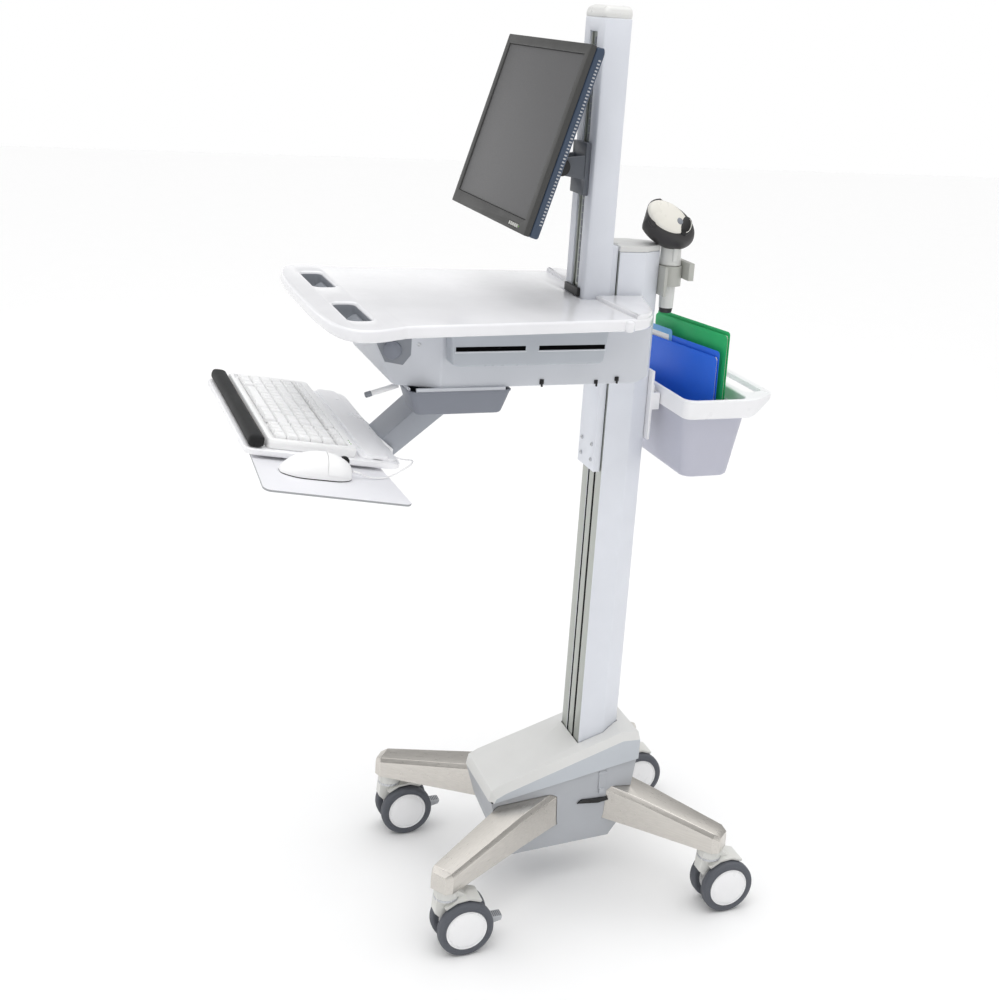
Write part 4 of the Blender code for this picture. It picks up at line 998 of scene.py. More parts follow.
@dataclass
class Base:
    """The cast arms, the sloping cover with its tub, and the lift column."""

    seam_front: tuple[float, float] = (-0.2205, 0.1958)
    seam_rear: tuple[float, float] = (0.0605, 0.2496)
    seam_half: float = 0.0766
    track_x: float = 0.0135
    track_width: float = 0.0058
    slope: float = 0.2743

    def build(self) -> None:
        """Builds and dresses every fixed piece of the base."""
        refine("base_frame", CAST_ARM, 0.0028, 4, 18.0)
        # Faces across X take the flank grey: painted shade on the cover's sides.
        cover = softened(weld_copy("base_cover"), 0.009, 6, 14.0)
        place("base_cover_shown", cover, "base", COVER_ABS, replaces=("base_cover",), world=True,
              others=(COVER_SIDE_SHADE,), paint=lambda p: int(abs(p.normal.x) > 0.8))
        refine("base_tub", TUB_ABS, 0.004, 4, 20.0)
        self.build_column()
        self.build_column_gasket()
        refine("lift_column_cap", COVER_ABS, 0.0012)
        refine("bin_bracket", BIN_GLOSS, 0.0006, 2)
        refine("scanner_holder", HOLDER_LIGHT, 0.0014, 3)
        self.build_seam()
        self.build_latch()

    def build_column(self) -> None:
        """The column, with its bare extruded face in front and its painted sides."""
        mesh = softened(weld_copy("lift_column"), 0.0016, 3)
        half, front, back = self.track_x + 0.0036, -0.0448, -0.036

        def part(face: bpy.types.MeshPolygon) -> int:
            """Chooses a face's finish.

            Args:
                face: The face.

            Returns:
                Two for the tracks' walls, one for the bare front, or zero for the paint.
            """
            x, y = face.center.x - AXIS.x, face.center.y - AXIS.y
            if abs(x) < half and front < y < back:
                return 2
            return int(face.normal.y < -0.8)

        place("lift_column_shown", mesh, "base", COLUMN_COAT, replaces=("lift_column",), world=True,
              others=(ANODISED, BLACK_ABS), paint=part)
        belts = []
        for sign in (-1, 1):
            x = sign * self.track_x
            belts.append(box_mesh("belt", (x - self.track_width / 2, -0.0392, 0.227),
                    (x + self.track_width / 2, -0.0379, 1.19)))
            belts.append(bar_row("teeth", (x, -0.03945, 0.232), (x, -0.03945, 1.186), 190,
                    (0.0048, 0.0006, 0.0022), BLACK_RUBBER))
        place("column_belts", merged("column_belts", belts), "base", BLACK_RUBBER, "tyre_rubber")

    def build_column_gasket(self) -> None:
        """The black lip where the column goes into the sloping cover."""
        rings = []
        for inset, rise in ((0.0, -0.003), (0.0, 0.001), (0.0032, 0.0016), (0.0032, -0.003)):
            line = [(0.045 - inset, -0.048 + inset), (0.045 - inset, 0.043 - inset),
                    (-0.045 + inset, 0.043 - inset), (-0.045 + inset, -0.048 + inset)]
            rings.append([(x, y, 0.224 + (y + 0.224) * self.slope + rise) for x, y in line])
        mesh = loft("column_gasket", rings + [rings[0]], caps=False)
        place("column_gasket", softened(mesh, 0.0005, 2), "base", BLACK_RUBBER, "tyre_rubber")

    def build_seam(self) -> None:
        """The black gasket between cover and tub, all the way round."""
        (y0, z0), (y1, z1) = self.seam_front, self.seam_rear
        rings = []
        for inset, drop in ((0.0, -0.0012), (0.0, 0.0012), (0.004, 0.0012), (0.004, -0.0012)):
            h = self.seam_half - inset
            rings.append([(x, y, z + drop) for x, y, z in ((-h, y0 + inset, z0), (h, y0 + inset, z0),
                    (h, y1 - inset, z1), (-h, y1 - inset, z1))])
        mesh = loft("cover_gasket", rings + [rings[0]], caps=False)
        place("cover_gasket", softened(mesh, 0.0004, 2), "base", BLACK_RUBBER, "tyre_rubber")

    def build_latch(self) -> None:
        """The pull latches between cover and tub, and black sheets that paint the shadow in the gaps where the arms
        come out.
        """
        parts = []
        for sign in (-1, 1):
            def at(depth: float, y: float, z: float, s: int = sign) -> tuple[float, float, float]:
                """A point on that side's wall."""
                return (s * (0.0758 + depth), y, z)

            for y0, y1, z0, z1, depth in ((-0.012, 0.002, 0.196, 0.232, 0.0016), (-0.01, 0.0, 0.186, 0.197, 0.0028),
                    (-0.0135, 0.0035, 0.226, 0.23, 0.0024)):
                low, high = sorted((at(-0.0012, y0, z0), at(depth, y1, z1)))
                parts.append(box_mesh("latch", low, high))
        place("cover_latches", softened(merged("cover_latches", parts), 0.0006, 2), "base", TUB_ABS, "tub_plastic")
        # Black sheets where the arms come out: painted shadow in the gaps.
        gaps = []
        for sign in (-1, 1):
            rings = [[(sign * depth, y, z) for y, z in ((-0.052, 0.17), (-0.044, 0.1765), (0.006, 0.176),
                    (0.012, 0.17), (-0.01, 0.166))]
                     for depth in (0.0742, 0.0764)]
            gaps.append(loft("gap", rings))
        place("arm_root_gap_shadows", merged("arm_root_gap_shadows", gaps), "base", BLACK_ABS, "bracket_grey")


@dataclass
class Caster:
    """One twin-wheel caster, with smooth-running tyres, domed hubs and, in front, a brake pedal."""

    where: str
    stem: tuple[float, float]
    trail: float = 0.031
    radius: float = 0.05
    offset: float = 0.0225
    braked: bool = False

    def build(self) -> None:
        """Builds the caster's pieces on its swivel and wheel bodies."""
        name = f"caster_{self.where}"
        axle = (self.stem[0], self.stem[1] + self.trail, self.radius)
        refine(f"{name}_housing", CASTER_NYLON, 0.0016, 3, 22.0, 40.0)
        half = [(0.0355, 0.0), (0.03545, 0.008), (0.0351, 0.016), (0.0344, 0.0228), (0.0333, 0.028),
                (0.032, 0.0312), (0.0306, 0.0326), (0.03, 0.0331), (0.03, 0.0338), (0.0308, 0.0343),
                (0.0316, 0.0352), (0.0315, 0.0363), (0.0305, 0.0368), (0.0135, 0.0368), (0.013, 0.035),
                (0.015, 0.032), (0.015, 0.014), (0.013, 0.011), (0.013, 0.0062)]
        profile = [(-a, r) for a, r in half] + [(a, r) for a, r in reversed(half)]
        hub = lathe(f"{name}_hubs", profile, axle, steps=72)
        place(f"{name}_hubs", hub, f"wheels_{self.where}", HUB_NYLON, replaces=(f"{name}_wheels",), sharp=38)
        side = [(0.009, 0.0372), (0.0095, 0.0378), (0.0095, 0.04), (0.0091, 0.0404), (0.0091, 0.0412),
                (0.0095, 0.0416), (0.0095, 0.0446), (0.0092, 0.0462), (0.0084, 0.0478), (0.007, 0.049),
                (0.005, 0.0497), (0.0022, 0.05)]
        section = side + [(0.0019, 0.0495), (-0.0019, 0.0495)] + [(-a, r) for a, r in reversed(side)]
        for side_name, sign in (("left", -1), ("right", 1)):
            centre = (axle[0] + sign * self.offset, axle[1], axle[2])
            tyre = lathe(f"{name}_tread_{side_name}", section, centre, steps=96)
            place(f"{name}_tread_{side_name}", tyre, f"wheels_{self.where}", TYRE_PU,
                  replaces=(f"{name}_tyre_{side_name}",), sharp=40)
        seal = lathe(f"{name}_swivel_ring", [(0.104, 0.0218), (0.1052, 0.0222), (0.1068, 0.0222), (0.108, 0.0218),
                (0.108, 0.0205), (0.104, 0.0205)], (*self.stem, 0.0), Axis.Z, 48)
        washer = lathe("washer", [(0.1219, 0.013), (0.1219, 0.0064), (0.1233, 0.0064), (0.1233, 0.013)],
                       (*self.stem, 0.0), Axis.Z, 40)
        place(f"{name}_swivel_ring", merged("ring", [seal, washer]), f"caster_{self.where}", BRIGHT_STEEL,
              "polished_aluminium")
        if self.braked:
            refine(f"{name}_brake_pedal", PEDAL_NYLON, 0.0016, 3, 22.0, 40.0)
            y, z = axle[1] + 0.03, 0.056
            grips = bar_row(f"{name}_pedal_grips", (self.stem[0], y + 0.027, z - 0.0039),
                    (self.stem[0], y + 0.0405, z - 0.0039), 5, (0.017, 0.0014, 0.001), TYRE_PU)
            place(f"{name}_pedal_grips", grips, f"brake_{self.where}", TYRE_PU, "tyre_rubber")


# Carriage, mast and display

@dataclass
class Mast:
    """The carriage plate and the display column with its track."""

    front: float = -0.107
    low: float = 1.13
    high: float = 1.55

    def build(self) -> None:
        """Builds the carriage and the mast."""
        refine("carriage_plate", COLUMN_COAT, 0.0008, 2)
        mesh = softened(weld_copy("display_column"), 0.0012, 3)
        place("display_column_shown", mesh, "lift", COLUMN_COAT, replaces=("display_column",), world=True,
              others=(ANODISED,), paint=lambda p: int(p.normal.y < -0.8 and p.center.y - AXIS.y > self.front + 0.002))
        refine("display_column_cap", COVER_ABS, 0.0022, 4, 12.0, 40.0)
        y = self.front + 0.005
        rails = [box_mesh("rail", (s * 0.0118 - 0.0014, y - 0.0026, self.low), (s * 0.0118 + 0.0014, y, self.high))
                 for s in (-1, 1)]
        place("mast_rails", softened(merged("mast_rails", rails), 0.0004, 2), "lift", ANODISED, "track_aluminium")
        slots = bar_row("mast_slots", (0, y - 0.0002, self.low + 0.012), (0, y - 0.0002, self.high - 0.012), 34,
                (0.005, 0.0006, 0.0104), HOLDER_ABS, taper=1.0)
        place("mast_slots", slots, "lift", HOLDER_ABS, "bracket_grey")
        # A black block where the mast goes into the rear cover: painted shadow of the opening round the mast.
        foot = softened(box_mesh("mast_foot_shadow", (-0.03, self.front - 0.0062, 1.118),
                (0.03, self.front - 0.0004, 1.133)), 0.0022, 4)
        place("mast_foot_shadow", foot, "lift", BLACK_ABS, "bracket_grey")
        heads = screws("carriage_screws", [(x, -0.0594, z) for x in (-0.022, 0.022) for z in (0.824, 0.852)], 0.0038,
                       (math.radians(90), 0, 0), BRIGHT_STEEL)
        place("carriage_screws", heads, "lift", BRIGHT_STEEL, "polished_aluminium")


@dataclass
class Display:
    """The tilting display: shell, bezel, film, buttons, vents and its mount."""

    width: float = 0.371
    height: float = 0.302
    thickness: float = 0.026
    pivot: tuple[float, float, float] = (0.0, -0.158, 1.334)

    def local(self, mesh: Mesh) -> Mesh:
        """Takes a mesh from display coordinates to column-centred ones.

        Args:
            mesh: The mesh, which is changed.

        Returns:
            The same mesh, with its faces outwards again after the mirroring.
        """
        mesh.transform(screen_matrix())
        mesh.flip_normals()
        return mesh

    def build(self) -> None:
        """Builds every piece of the display."""
        refine("display_bracket", BRACKET_COAT, 0.002, 3)
        refine("display_tilt_head", BRACKET_COAT, 0.0015, 3, 24.0, 40.0)
        refine("monitor_shell", SHELL_ABS, 0.0042, 5, 20.0)
        refine("monitor_bezel", BEZEL_ABS, 0.0012, 3)
        # The screen's grey is painted reflection.
        refine("monitor_screen", SCREEN_REFLECTION, 0.0005, 2)
        self.build_vents()
        self.build_buttons()
        self.build_mount()

    def build_vents(self) -> None:
        """Vents down both sides and across the back's crown."""
        side, depth = self.width / 2, 0.0208
        rows = [bar_row("side", (s * side, -0.128, depth), (s * side, 0.132, depth), 50, (0.0008, 0.0022, 0.004),
                PEDAL_NYLON, taper=1.0) for s in (-1, 1)]
        place("display_side_vents", self.local(merged("display_side_vents", rows)), "display", PEDAL_NYLON,
              "monitor_shell")
        back = self.thickness + 0.018
        crown = [bar_row("crown", (-0.085, up, back), (0.085, up, back), 40, (0.0018, 0.01, 0.0006), BLACK_ABS,
                taper=1.0) for up in (0.052, 0.066)]
        place("display_back_vents", self.local(merged("display_back_vents", crown)), "display", BLACK_ABS,
              "monitor_shell")

    def build_buttons(self) -> None:
        """Five separate keys on one bar, and the power lamp."""
        middle, low = self.width / 2 - 0.056, -self.height / 2 + 0.009
        bar = bar_row("display_keys_row", (middle - 0.0172, low, 0.0014), (middle + 0.0172, low, 0.0014), 5,
                      (0.0022, 0.0056, 0.0048), CASTER_NYLON, taper=1.0)
        place("display_keys_row", self.local(softened(bar, 0.0005, 2)), "display_keys", CASTER_NYLON,
              replaces=("monitor_buttons",))
        lamp = lathe("display_lamp", [(-0.0008, 0.0), (-0.0006, 0.0008), (-0.0001, 0.0012), (0.002, 0.0012),
                (0.002, 0.0)], (0, 0, 0), Axis.Z, 20)
        lamp.transform(Matrix.Translation((middle + 0.0245, low, 0.0)))
        place("display_lamp", self.local(lamp), "display", LED_GREEN, "monitor_bezel")

    def build_mount(self) -> None:
        """The mount's screws and pivot caps."""
        back = self.thickness + 0.0225
        spots = [(x, -0.042 + u, back + 0.0001) for x in (-0.0375, 0.0375) for u in (-0.0375, 0.0375)]
        heads = screws("mount_screws", spots, 0.0036, (0, 0, 0), BRIGHT_STEEL)
        place("mount_screws", self.local(heads), "display", BRIGHT_STEEL, "bracket_grey")
        caps = []
        for sign in (-1, 1):
            profile = [(sign * 0.0284, 0.0), (sign * 0.0284, 0.015), (sign * 0.032, 0.015), (sign * 0.0334, 0.0142),
                       (sign * 0.034, 0.012), (sign * 0.0342, 0.0)]
            caps.append(lathe("cap", profile, self.pivot, steps=48))
        place("tilt_caps", merged("tilt_caps", caps), "display_slider", BLACK_ABS, "bracket_grey", sharp=40)


# Worksurface

@dataclass
class Worksurface:
    """The top with its rear cover, the underbody, drawer pods, grips, clips and holder."""

    low: float = 1.098
    high: float = 1.1175
    notch: float = 0.0466
    notch_front: float = -0.1082
    grip: tuple[float, float] = (0.124, -0.521)
    holder: tuple[tuple[float, float], ...] = ((0.088, 0.162), (-0.434, -0.268), (0.957, 0.999))
    edge: tuple[tuple[float, float], ...] = (
        (0.0, -0.578), (0.07, -0.5778), (0.13, -0.5762), (0.19, -0.571), (0.228, -0.561), (0.25, -0.545),
        (0.256, -0.522), (0.25, -0.497), (0.237, -0.47), (0.23, -0.44), (0.218, -0.27),
        (0.207, -0.11), (0.201, -0.07), (0.182, -0.044), (0.15, -0.028), (0.07, -0.006), (0.05, 0.003))

    def outline(self) -> list[tuple[float, float]]:
        """The whole edge, smoothed.

        Returns:
            The outline, which ends with the four corners of the columns' notch.
        """
        right = [Vector((x, y, 0)) for x, y in self.edge]
        left = [Vector((-p.x, p.y, 0)) for p in reversed(right[1:])]
        line = [(p.x, p.y) for p in smooth_line([*left, *right], 6)]
        return [*line, (self.notch, 0.0035), (self.notch, self.notch_front), (-self.notch, self.notch_front),
                (-self.notch, 0.0035)]

    def build(self) -> None:
        """Builds every piece of the worksurface."""
        grips = [rounded(0.066, 0.0185, 0.012, 8, (s * self.grip[0], self.grip[1])) for s in (-1, 1)]
        top = plate("desk_top_shown", [self.outline(), *grips], self.low, self.high, 0.0048, 5)
        place("desk_top_shown", top, "lift", DESK_GLOSS, replaces=("desk_top",), sharp=50)
        liners = [plate("liner", [rounded(0.0659, 0.0184, 0.0119, 8, (s * self.grip[0], self.grip[1])),
                rounded(0.0652, 0.0177, 0.0112, 8, (s * self.grip[0], self.grip[1]))],
                1.085, 1.113, 0.0002, 1) for s in (-1, 1)]
        place("grip_liners", merged("grip_liners", liners), "lift", LEVER_NYLON, "lever_plastic", sharp=50)
        self.build_rear_cover()
        refine("desk_underbody", UNDER_ABS, 0.003, 4, 18.0)
        self.build_pods()
        self.build_levers()
        self.build_clips()
        self.build_holder()
        refine("arm_bracket", ARM_COAT, 0.001, 2)
        self.build_release()

    def build_rear_cover(self) -> None:
        """The raised cover round the columns, and the cable hook on its right."""
        line = [(x, y) for x, y in self.outline()[:-4] if y > -0.078]
        right = [(x - 0.0014, y - 0.0012) for x, y in line if x > 0]
        outline = [*right, (self.notch + 0.001, 0.002), (self.notch + 0.001, -0.085), (0.08, -0.085),
                   (0.15, -0.0815), (0.201, -0.078)]
        mirror = [(-x, y) for x, y in reversed(outline)]
        covers = [plate("cover", [half], self.high - 0.003, self.high + 0.0065, 0.003, 4)
                  for half in (outline, mirror)]
        place("desk_rear_cover", merged("desk_rear_cover", covers), "lift", DESK_GLOSS, "gloss_white", sharp=50)
        hook = lathe("hook", [(-0.009, 0.0), (-0.009, 0.0058), (-0.007, 0.0078), (0.007, 0.0078), (0.0092, 0.0056),
                (0.0095, 0.0)], (0.206, -0.092, self.high - 0.0105), Axis.Z, 40)
        place("cable_hook", hook, "lift", DESK_GLOSS, "gloss_white", sharp=50)

    def build_pods(self) -> None:
        """The two side pods, each with two near-black strips that paint the card slots' shadow, and their lips."""
        for sign, side in ((-1, "left"), (1, "right")):
            # The pods' darker grey is painted shade on their side faces.
            refine(f"side_pod_{side}", POD_SHADED_ABS, 0.0034, 4, 18.0)
            slots, lips = [], []
            for y0, y1 in ((-0.374, -0.26), (-0.238, -0.126)):
                x0, x1 = sorted((sign * 0.1905, sign * 0.1922))
                slots.append(box_mesh("slot", (x0, y0, 1.0675), (x1, y1, 1.075)))
                x0, x1 = sorted((sign * 0.1905, sign * 0.193))
                lips.append(box_mesh("lip", (x0, y0 - 0.0015, 1.065), (x1, y1 + 0.0015, 1.0672)))
            # The slots are not cut: near-black strips paint the shadow inside them.
            place(f"pod_slot_shadows_{side}", softened(merged("slots", slots), 0.0005, 2), "lift", SLOT_SHADOW, "bracket_grey")
            place(f"pod_lips_{side}", softened(merged("lips", lips), 0.0006, 2), "lift", UNDER_ABS,
                  "underbody_plastic")

    def build_levers(self) -> None:
        """The two squeeze levers in the grips, with finger ribs."""
        for sign, side in ((-1, "left"), (1, "right")):
            refine(f"grip_lever_{side}", LEVER_NYLON, 0.0009, 3)
            ribs = bar_row(f"grip_ribs_{side}", (sign * 0.088, -0.5209, 1.0925), (sign * 0.16, -0.5209, 1.0925), 19,
                    (0.002, 0.001, 0.0036), BLACK_RUBBER)
            place(f"grip_ribs_{side}", ribs, f"grip_{side}", BLACK_RUBBER, "lever_plastic")

    def build_clips(self) -> None:
        """Black cable clips, screws, and a flat darker sheet that paints a recess's shade, with its round knob, behind
        each front corner.
        """
        parts, spots, recesses, discs = [], [], [], []
        for sign in (-1, 1):
            for y0, y1, z0, z1 in ((-0.22, -0.213, 1.003, 1.011), (-0.125, -0.119, 1.001, 1.0075),
                    (-0.089, -0.082, 1.005, 1.012)):
                x0, x1 = sorted((sign * 0.156, sign * 0.1602))
                parts.append(box_mesh("clip", (x0, y0, z0), (x1, y1, z1)))
                x0, x1 = sorted((sign * 0.159, sign * 0.1618))
                parts.append(box_mesh("hook", (x0, y0 + 0.002, z0 - 0.004), (x1, y0 + 0.005, z1 - 0.002)))
            along = Vector((sign * 0.4046, 0.9145, 0)).normalized()
            out = Vector((sign * 0.9145, -0.4046, 0))
            root = Vector((sign * 0.085, -0.55, 0))
            shape = [(-0.484, 1.08), (-0.477, 1.06), (-0.466, 1.036), (-0.44, 1.033), (-0.429, 1.05),
                     (-0.429, 1.08)]
            rings = []
            for depth in (-0.001, 0.0006):
                rings.append([root + along * ((y + 0.55) / 0.9145) + out * depth + Vector((0, 0, z)) for y, z in shape])
            recesses.append(loft("recess", rings))
            disc = lathe("disc", [(-0.002, 0.0), (-0.002, 0.015), (0.003, 0.015), (0.0052, 0.0128), (0.0058, 0.0)],
                    (0, 0, 0), Axis.X, 40)
            disc.transform(Matrix.Translation(root + along * ((-0.456 + 0.55) / 0.9145) + Vector((0, 0, 1.056)))
                    @ Matrix.Rotation(math.atan2(out.y, out.x), 4, "Z"))
            discs.append(disc)
            spots.append((root + along * ((-0.418 + 0.55) / 0.9145) + out * 0.0004 + Vector((0, 0, 1.068)), sign))
        place("underbody_clips", softened(merged("underbody_clips", parts), 0.0006, 2), "lift", BLACK_ABS,
              "bracket_grey")
        # Each recess is a flat sheet on the underbody, not cut into it; its darker grey is painted shade.
        place("underbody_recesses", softened(merged("recesses", recesses), 0.0006, 2), "lift", LEVER_NYLON,
              "underbody_plastic")
        place("tilt_release_discs", merged("discs", discs), "lift", HOLDER_ABS, "lever_plastic", sharp=45)
        heads = [screws("head", [spot], 0.003, (0, math.radians(90), math.radians(-23.9 if sign > 0 else 203.9)),
                BRIGHT_STEEL) for spot, sign in spots]
        place("underbody_screws", merged("underbody_screws", heads), "lift", BRIGHT_STEEL, "bracket_grey")

    def build_holder(self) -> None:
        """The open holder under the right side, with its flange and hangers."""
        (x0, x1), (y0, y1), (z0, z1) = self.holder
        middle = ((x0 + x1) / 2, (y0 + y1) / 2)

        def ring(inset: float, taper: float, z: float) -> list[Point]:
            """A rounded section at a height, drawn in by an inset and by the walls' taper."""
            half = ((x1 - x0) / 2 - inset - taper * 0.4, (y1 - y0) / 2 - inset - taper)
            return [(x, y, z) for x, y in rounded(*half, 0.01 - inset, 6, middle)]

        rings = [ring(0.003, 0.012, z0), ring(0.0008, 0.012, z0 + 0.0012), ring(0.0, 0.011, z0 + 0.004),
                 ring(0.0, 0.0, z1 - 0.006), ring(-0.0014, -0.0002, z1 - 0.005),
                 ring(-0.0014, -0.0002, z1 - 0.0028), ring(0.0026, 0.0, z1 - 0.0028),
                 ring(0.0026, 0.011, z0 + 0.006), ring(0.005, 0.012, z0 + 0.003)]
        tub = loft("holder", rings)
        place("scanner_tray_shown", tub, "lift", HOLDER_ABS, replaces=("scanner_tray",), sharp=40)
        arms = [box_mesh("hanger", (x - 0.0012, y - 0.007, z1 - 0.029), (x + 0.0012, y + 0.007, z1 + 0.0009))
                for x in (x0 + 0.0038, x1 - 0.0062) for y in (y0 + 0.04, y1 - 0.04)]
        # The flanges are a lip on the holder's rim; their paler grey also paints the highlight along its top edge.
        arms.append(box_mesh("flange", (x1 - 0.0045, y0 + 0.01, z1 - 0.003), (x1 + 0.0006, y1 - 0.01, z1 + 0.0026)))
        arms.append(box_mesh("flange", (x0 + 0.012, y0 - 0.0006, z1 - 0.003), (x1 - 0.01, y0 + 0.003, z1 + 0.0009)))
        place("holder_hangers", softened(merged("hangers", arms), 0.0004, 2), "lift", UNDER_ABS, "holder_grey")

    def build_release(self) -> None:
        """The arm's release rod and its grey tip."""
        refine("arm_release_rod", HUB_NYLON, 0.001, 2, 60.0, 50.0)
        tip = lathe("release_tip", [(0.003, 0.0), (0.003, 0.0047), (-0.006, 0.0047), (-0.0072, 0.0038),
                (-0.0076, 0.0)], (0, 0, 0), Axis.Y, 32)
        turn = Matrix.Rotation(math.radians(16), 4, "X")
        end = Vector((0.105, -0.438, 0.993)) + turn @ Vector((0, -0.048, 0))
        tip.transform(Matrix.Translation(end) @ turn)
        place("release_tip", tip, "release", LEVER_NYLON, "lever_plastic", sharp=45)


# Keyboard and mouse

@dataclass
class KeyboardStation:
    """The sloping tray on its arm, the keyboard and the padded wrist rest."""

    unit: float = 0.0183
    left: float = -0.1828
    key_low: float = 0.013
    key_height: float = 0.006
    arm_rear: tuple[float, float] = (-0.33, 0.958)
    arm_front: tuple[float, float] = (-0.44, 0.864)

    def build(self) -> None:
        """Builds the arm, the tray and what lies on it."""
        refine("keyboard_arm", ARM_COAT, 0.0022, 4, 20.0, 42.0)
        refine("keyboard_tray", TRAY_ABS, 0.0016, 3, 20.0)
        refine("keyboard_case", KEY_ABS, 0.0014, 3, 20.0)
        self.build_panel()
        self.build_keys()
        self.build_pivots()
        self.build_wrist_rest()

    def build_panel(self) -> None:
        """The raised shelf behind the keyboard, in two steps, and the keyboard's three lamps."""
        steps = [plate("step", [rounded(0.19, depth, 0.01, 8, (0.0, u))], -0.0006, high, 0.0018, 4)
                 for depth, u, high in ((0.029, 0.208, 0.0036), (0.018, 0.206, 0.007))]
        shelf = merged("tray_shelf", steps)
        shelf.transform(tray_matrix())
        place("tray_shelf", shelf, "tray", TRAY_ABS, "tray_white", sharp=45)
        lamps = bar_row("keyboard_lamps", (0.15, 0.1655, 0.0151), (0.168, 0.1655, 0.0151), 3,
                (0.0034, 0.0014, 0.0006), LED_GREEN)
        lamps.transform(tray_matrix())
        place("keyboard_lamps", lamps, "tray", LED_GREEN, "key_white")

    def build_keys(self) -> None:
        """Every keycap, row by row, in widths of key units."""
        main = [[(0, 1.0, 15)], [(0, 1.0, 13), (13, 2.0, 1)], [(0, 1.5, 1), (1.5, 1.0, 12), (13.5, 1.5, 1)],
                [(0, 1.75, 1), (1.75, 1.0, 11), (12.75, 2.25, 1)], [(0, 2.25, 1), (2.25, 1.0, 10), (12.25, 2.75, 1)],
                [(0, 1.25, 3), (3.75, 6.25, 1), (10, 1.25, 4)]]
        rows = []
        for index, row in enumerate(main):
            u = 0.1495 if index == 0 else 0.129 - (index - 1) * self.unit
            depth = 0.011 if index == 0 else 0.0162
            pad = [(15.5, 1.0, 4)]
            for start, width, count in [*row, *pad]:
                size = width * self.unit
                first = self.left + start * self.unit + size / 2
                rows.append(KEYS.make("keys", {
                    "Start": (first, u, self.key_low + self.key_height * 0.175), "Pitch": size, "Count": count,
                    "Width": size - 0.002, "Depth": depth, "Height": self.key_height,
                    "Material": KEY_ABS.material()}))
        keys = merged("keyboard_caps", rows)
        keys.transform(tray_matrix())
        place("keyboard_caps", keys, "keys", KEY_ABS, replaces=("keyboard_keys",), sharp=28)

    def build_pivots(self) -> None:
        """Domed bolts on the ends of the arm's two pins."""
        x = 0.05
        for name, (y, z), body in (("arm_pin_caps", self.arm_rear, "lift"), ("tray_pin_caps", self.arm_front, "tray")):
            caps = []
            for sign in (-1, 1):
                profile = [(sign * x, 0.0), (sign * x, 0.0088), (sign * (x + 0.0022), 0.0086),
                        (sign * (x + 0.0034), 0.0066), (sign * (x + 0.0038), 0.0)]
                caps.append(lathe("cap", profile, (0, y, z), steps=40))
            place(name, merged(name, caps), body, BRIGHT_STEEL, "arm_grey", sharp=45)

    def build_wrist_rest(self) -> None:
        """A foam bar under a thin skin: pressure swells it a little between its ends."""
        swell, lowest, highest, frames = 0.0016, 0.0006, 0.0199, 20
        rings = []
        for w, inset in ((0.001, 0.001), (0.003, 0.0002), (0.015, 0.0002), (0.018, 0.0012), (0.0192, 0.003)):
            rings.append([(x, u, w) for x, u in rounded(0.1968 - inset, 0.0125 - inset, 0.0045, 5, (-0.001, 0.0165))])
        mesh = loft("wrist_pad", rings)
        rest = bpy.data.objects.new("wrist_pad", mesh)
        bpy.context.scene.collection.objects.link(rest)
        remesh = rest.modifiers.new("voxels", "REMESH")
        remesh.mode, remesh.voxel_size = "VOXEL", 0.004
        finer = baked(rest)
        rest = bpy.data.objects.new("wrist_pad", finer)
        bpy.context.scene.collection.objects.link(rest)
        start = [v.co.copy() for v in finer.vertices]
        cloth = rest.modifiers.new("swell", "CLOTH")
        cloth.settings.use_pressure, cloth.settings.uniform_pressure_force = True, 4.0
        cloth.settings.effector_weights.gravity = 0.0
        cloth.settings.tension_stiffness = cloth.settings.compression_stiffness = 15.0
        cloth.point_cache.frame_start, cloth.point_cache.frame_end = 1, frames
        for step in range(1, frames + 1):
            bpy.context.scene.frame_set(step)
        graph = bpy.context.evaluated_depsgraph_get()
        swollen = [v.co.copy() for v in rest.evaluated_get(graph).data.vertices]
        rest.modifiers.remove(cloth)
        bpy.context.scene.frame_set(1)
        for vertex, before, after in zip(finer.vertices, start, swollen):
            move = after - before
            if move.length > swell:
                move *= swell / move.length
            spot = before + move
            spot.z = min(max(spot.z, lowest), highest)
            vertex.co = spot
        finer.update()
        smooth = rest.modifiers.new("smooth", "SMOOTH")
        smooth.iterations, smooth.factor = 1, 0.5
        subdivide = rest.modifiers.new("subdivide", "SUBSURF")
        subdivide.levels = subdivide.render_levels = 1
        final = baked(rest)
        final.transform(tray_matrix())
        pad = place("wrist_pad", final, "tray", BLACK_RUBBER, replaces=("wrist_rest",), sharp=80)


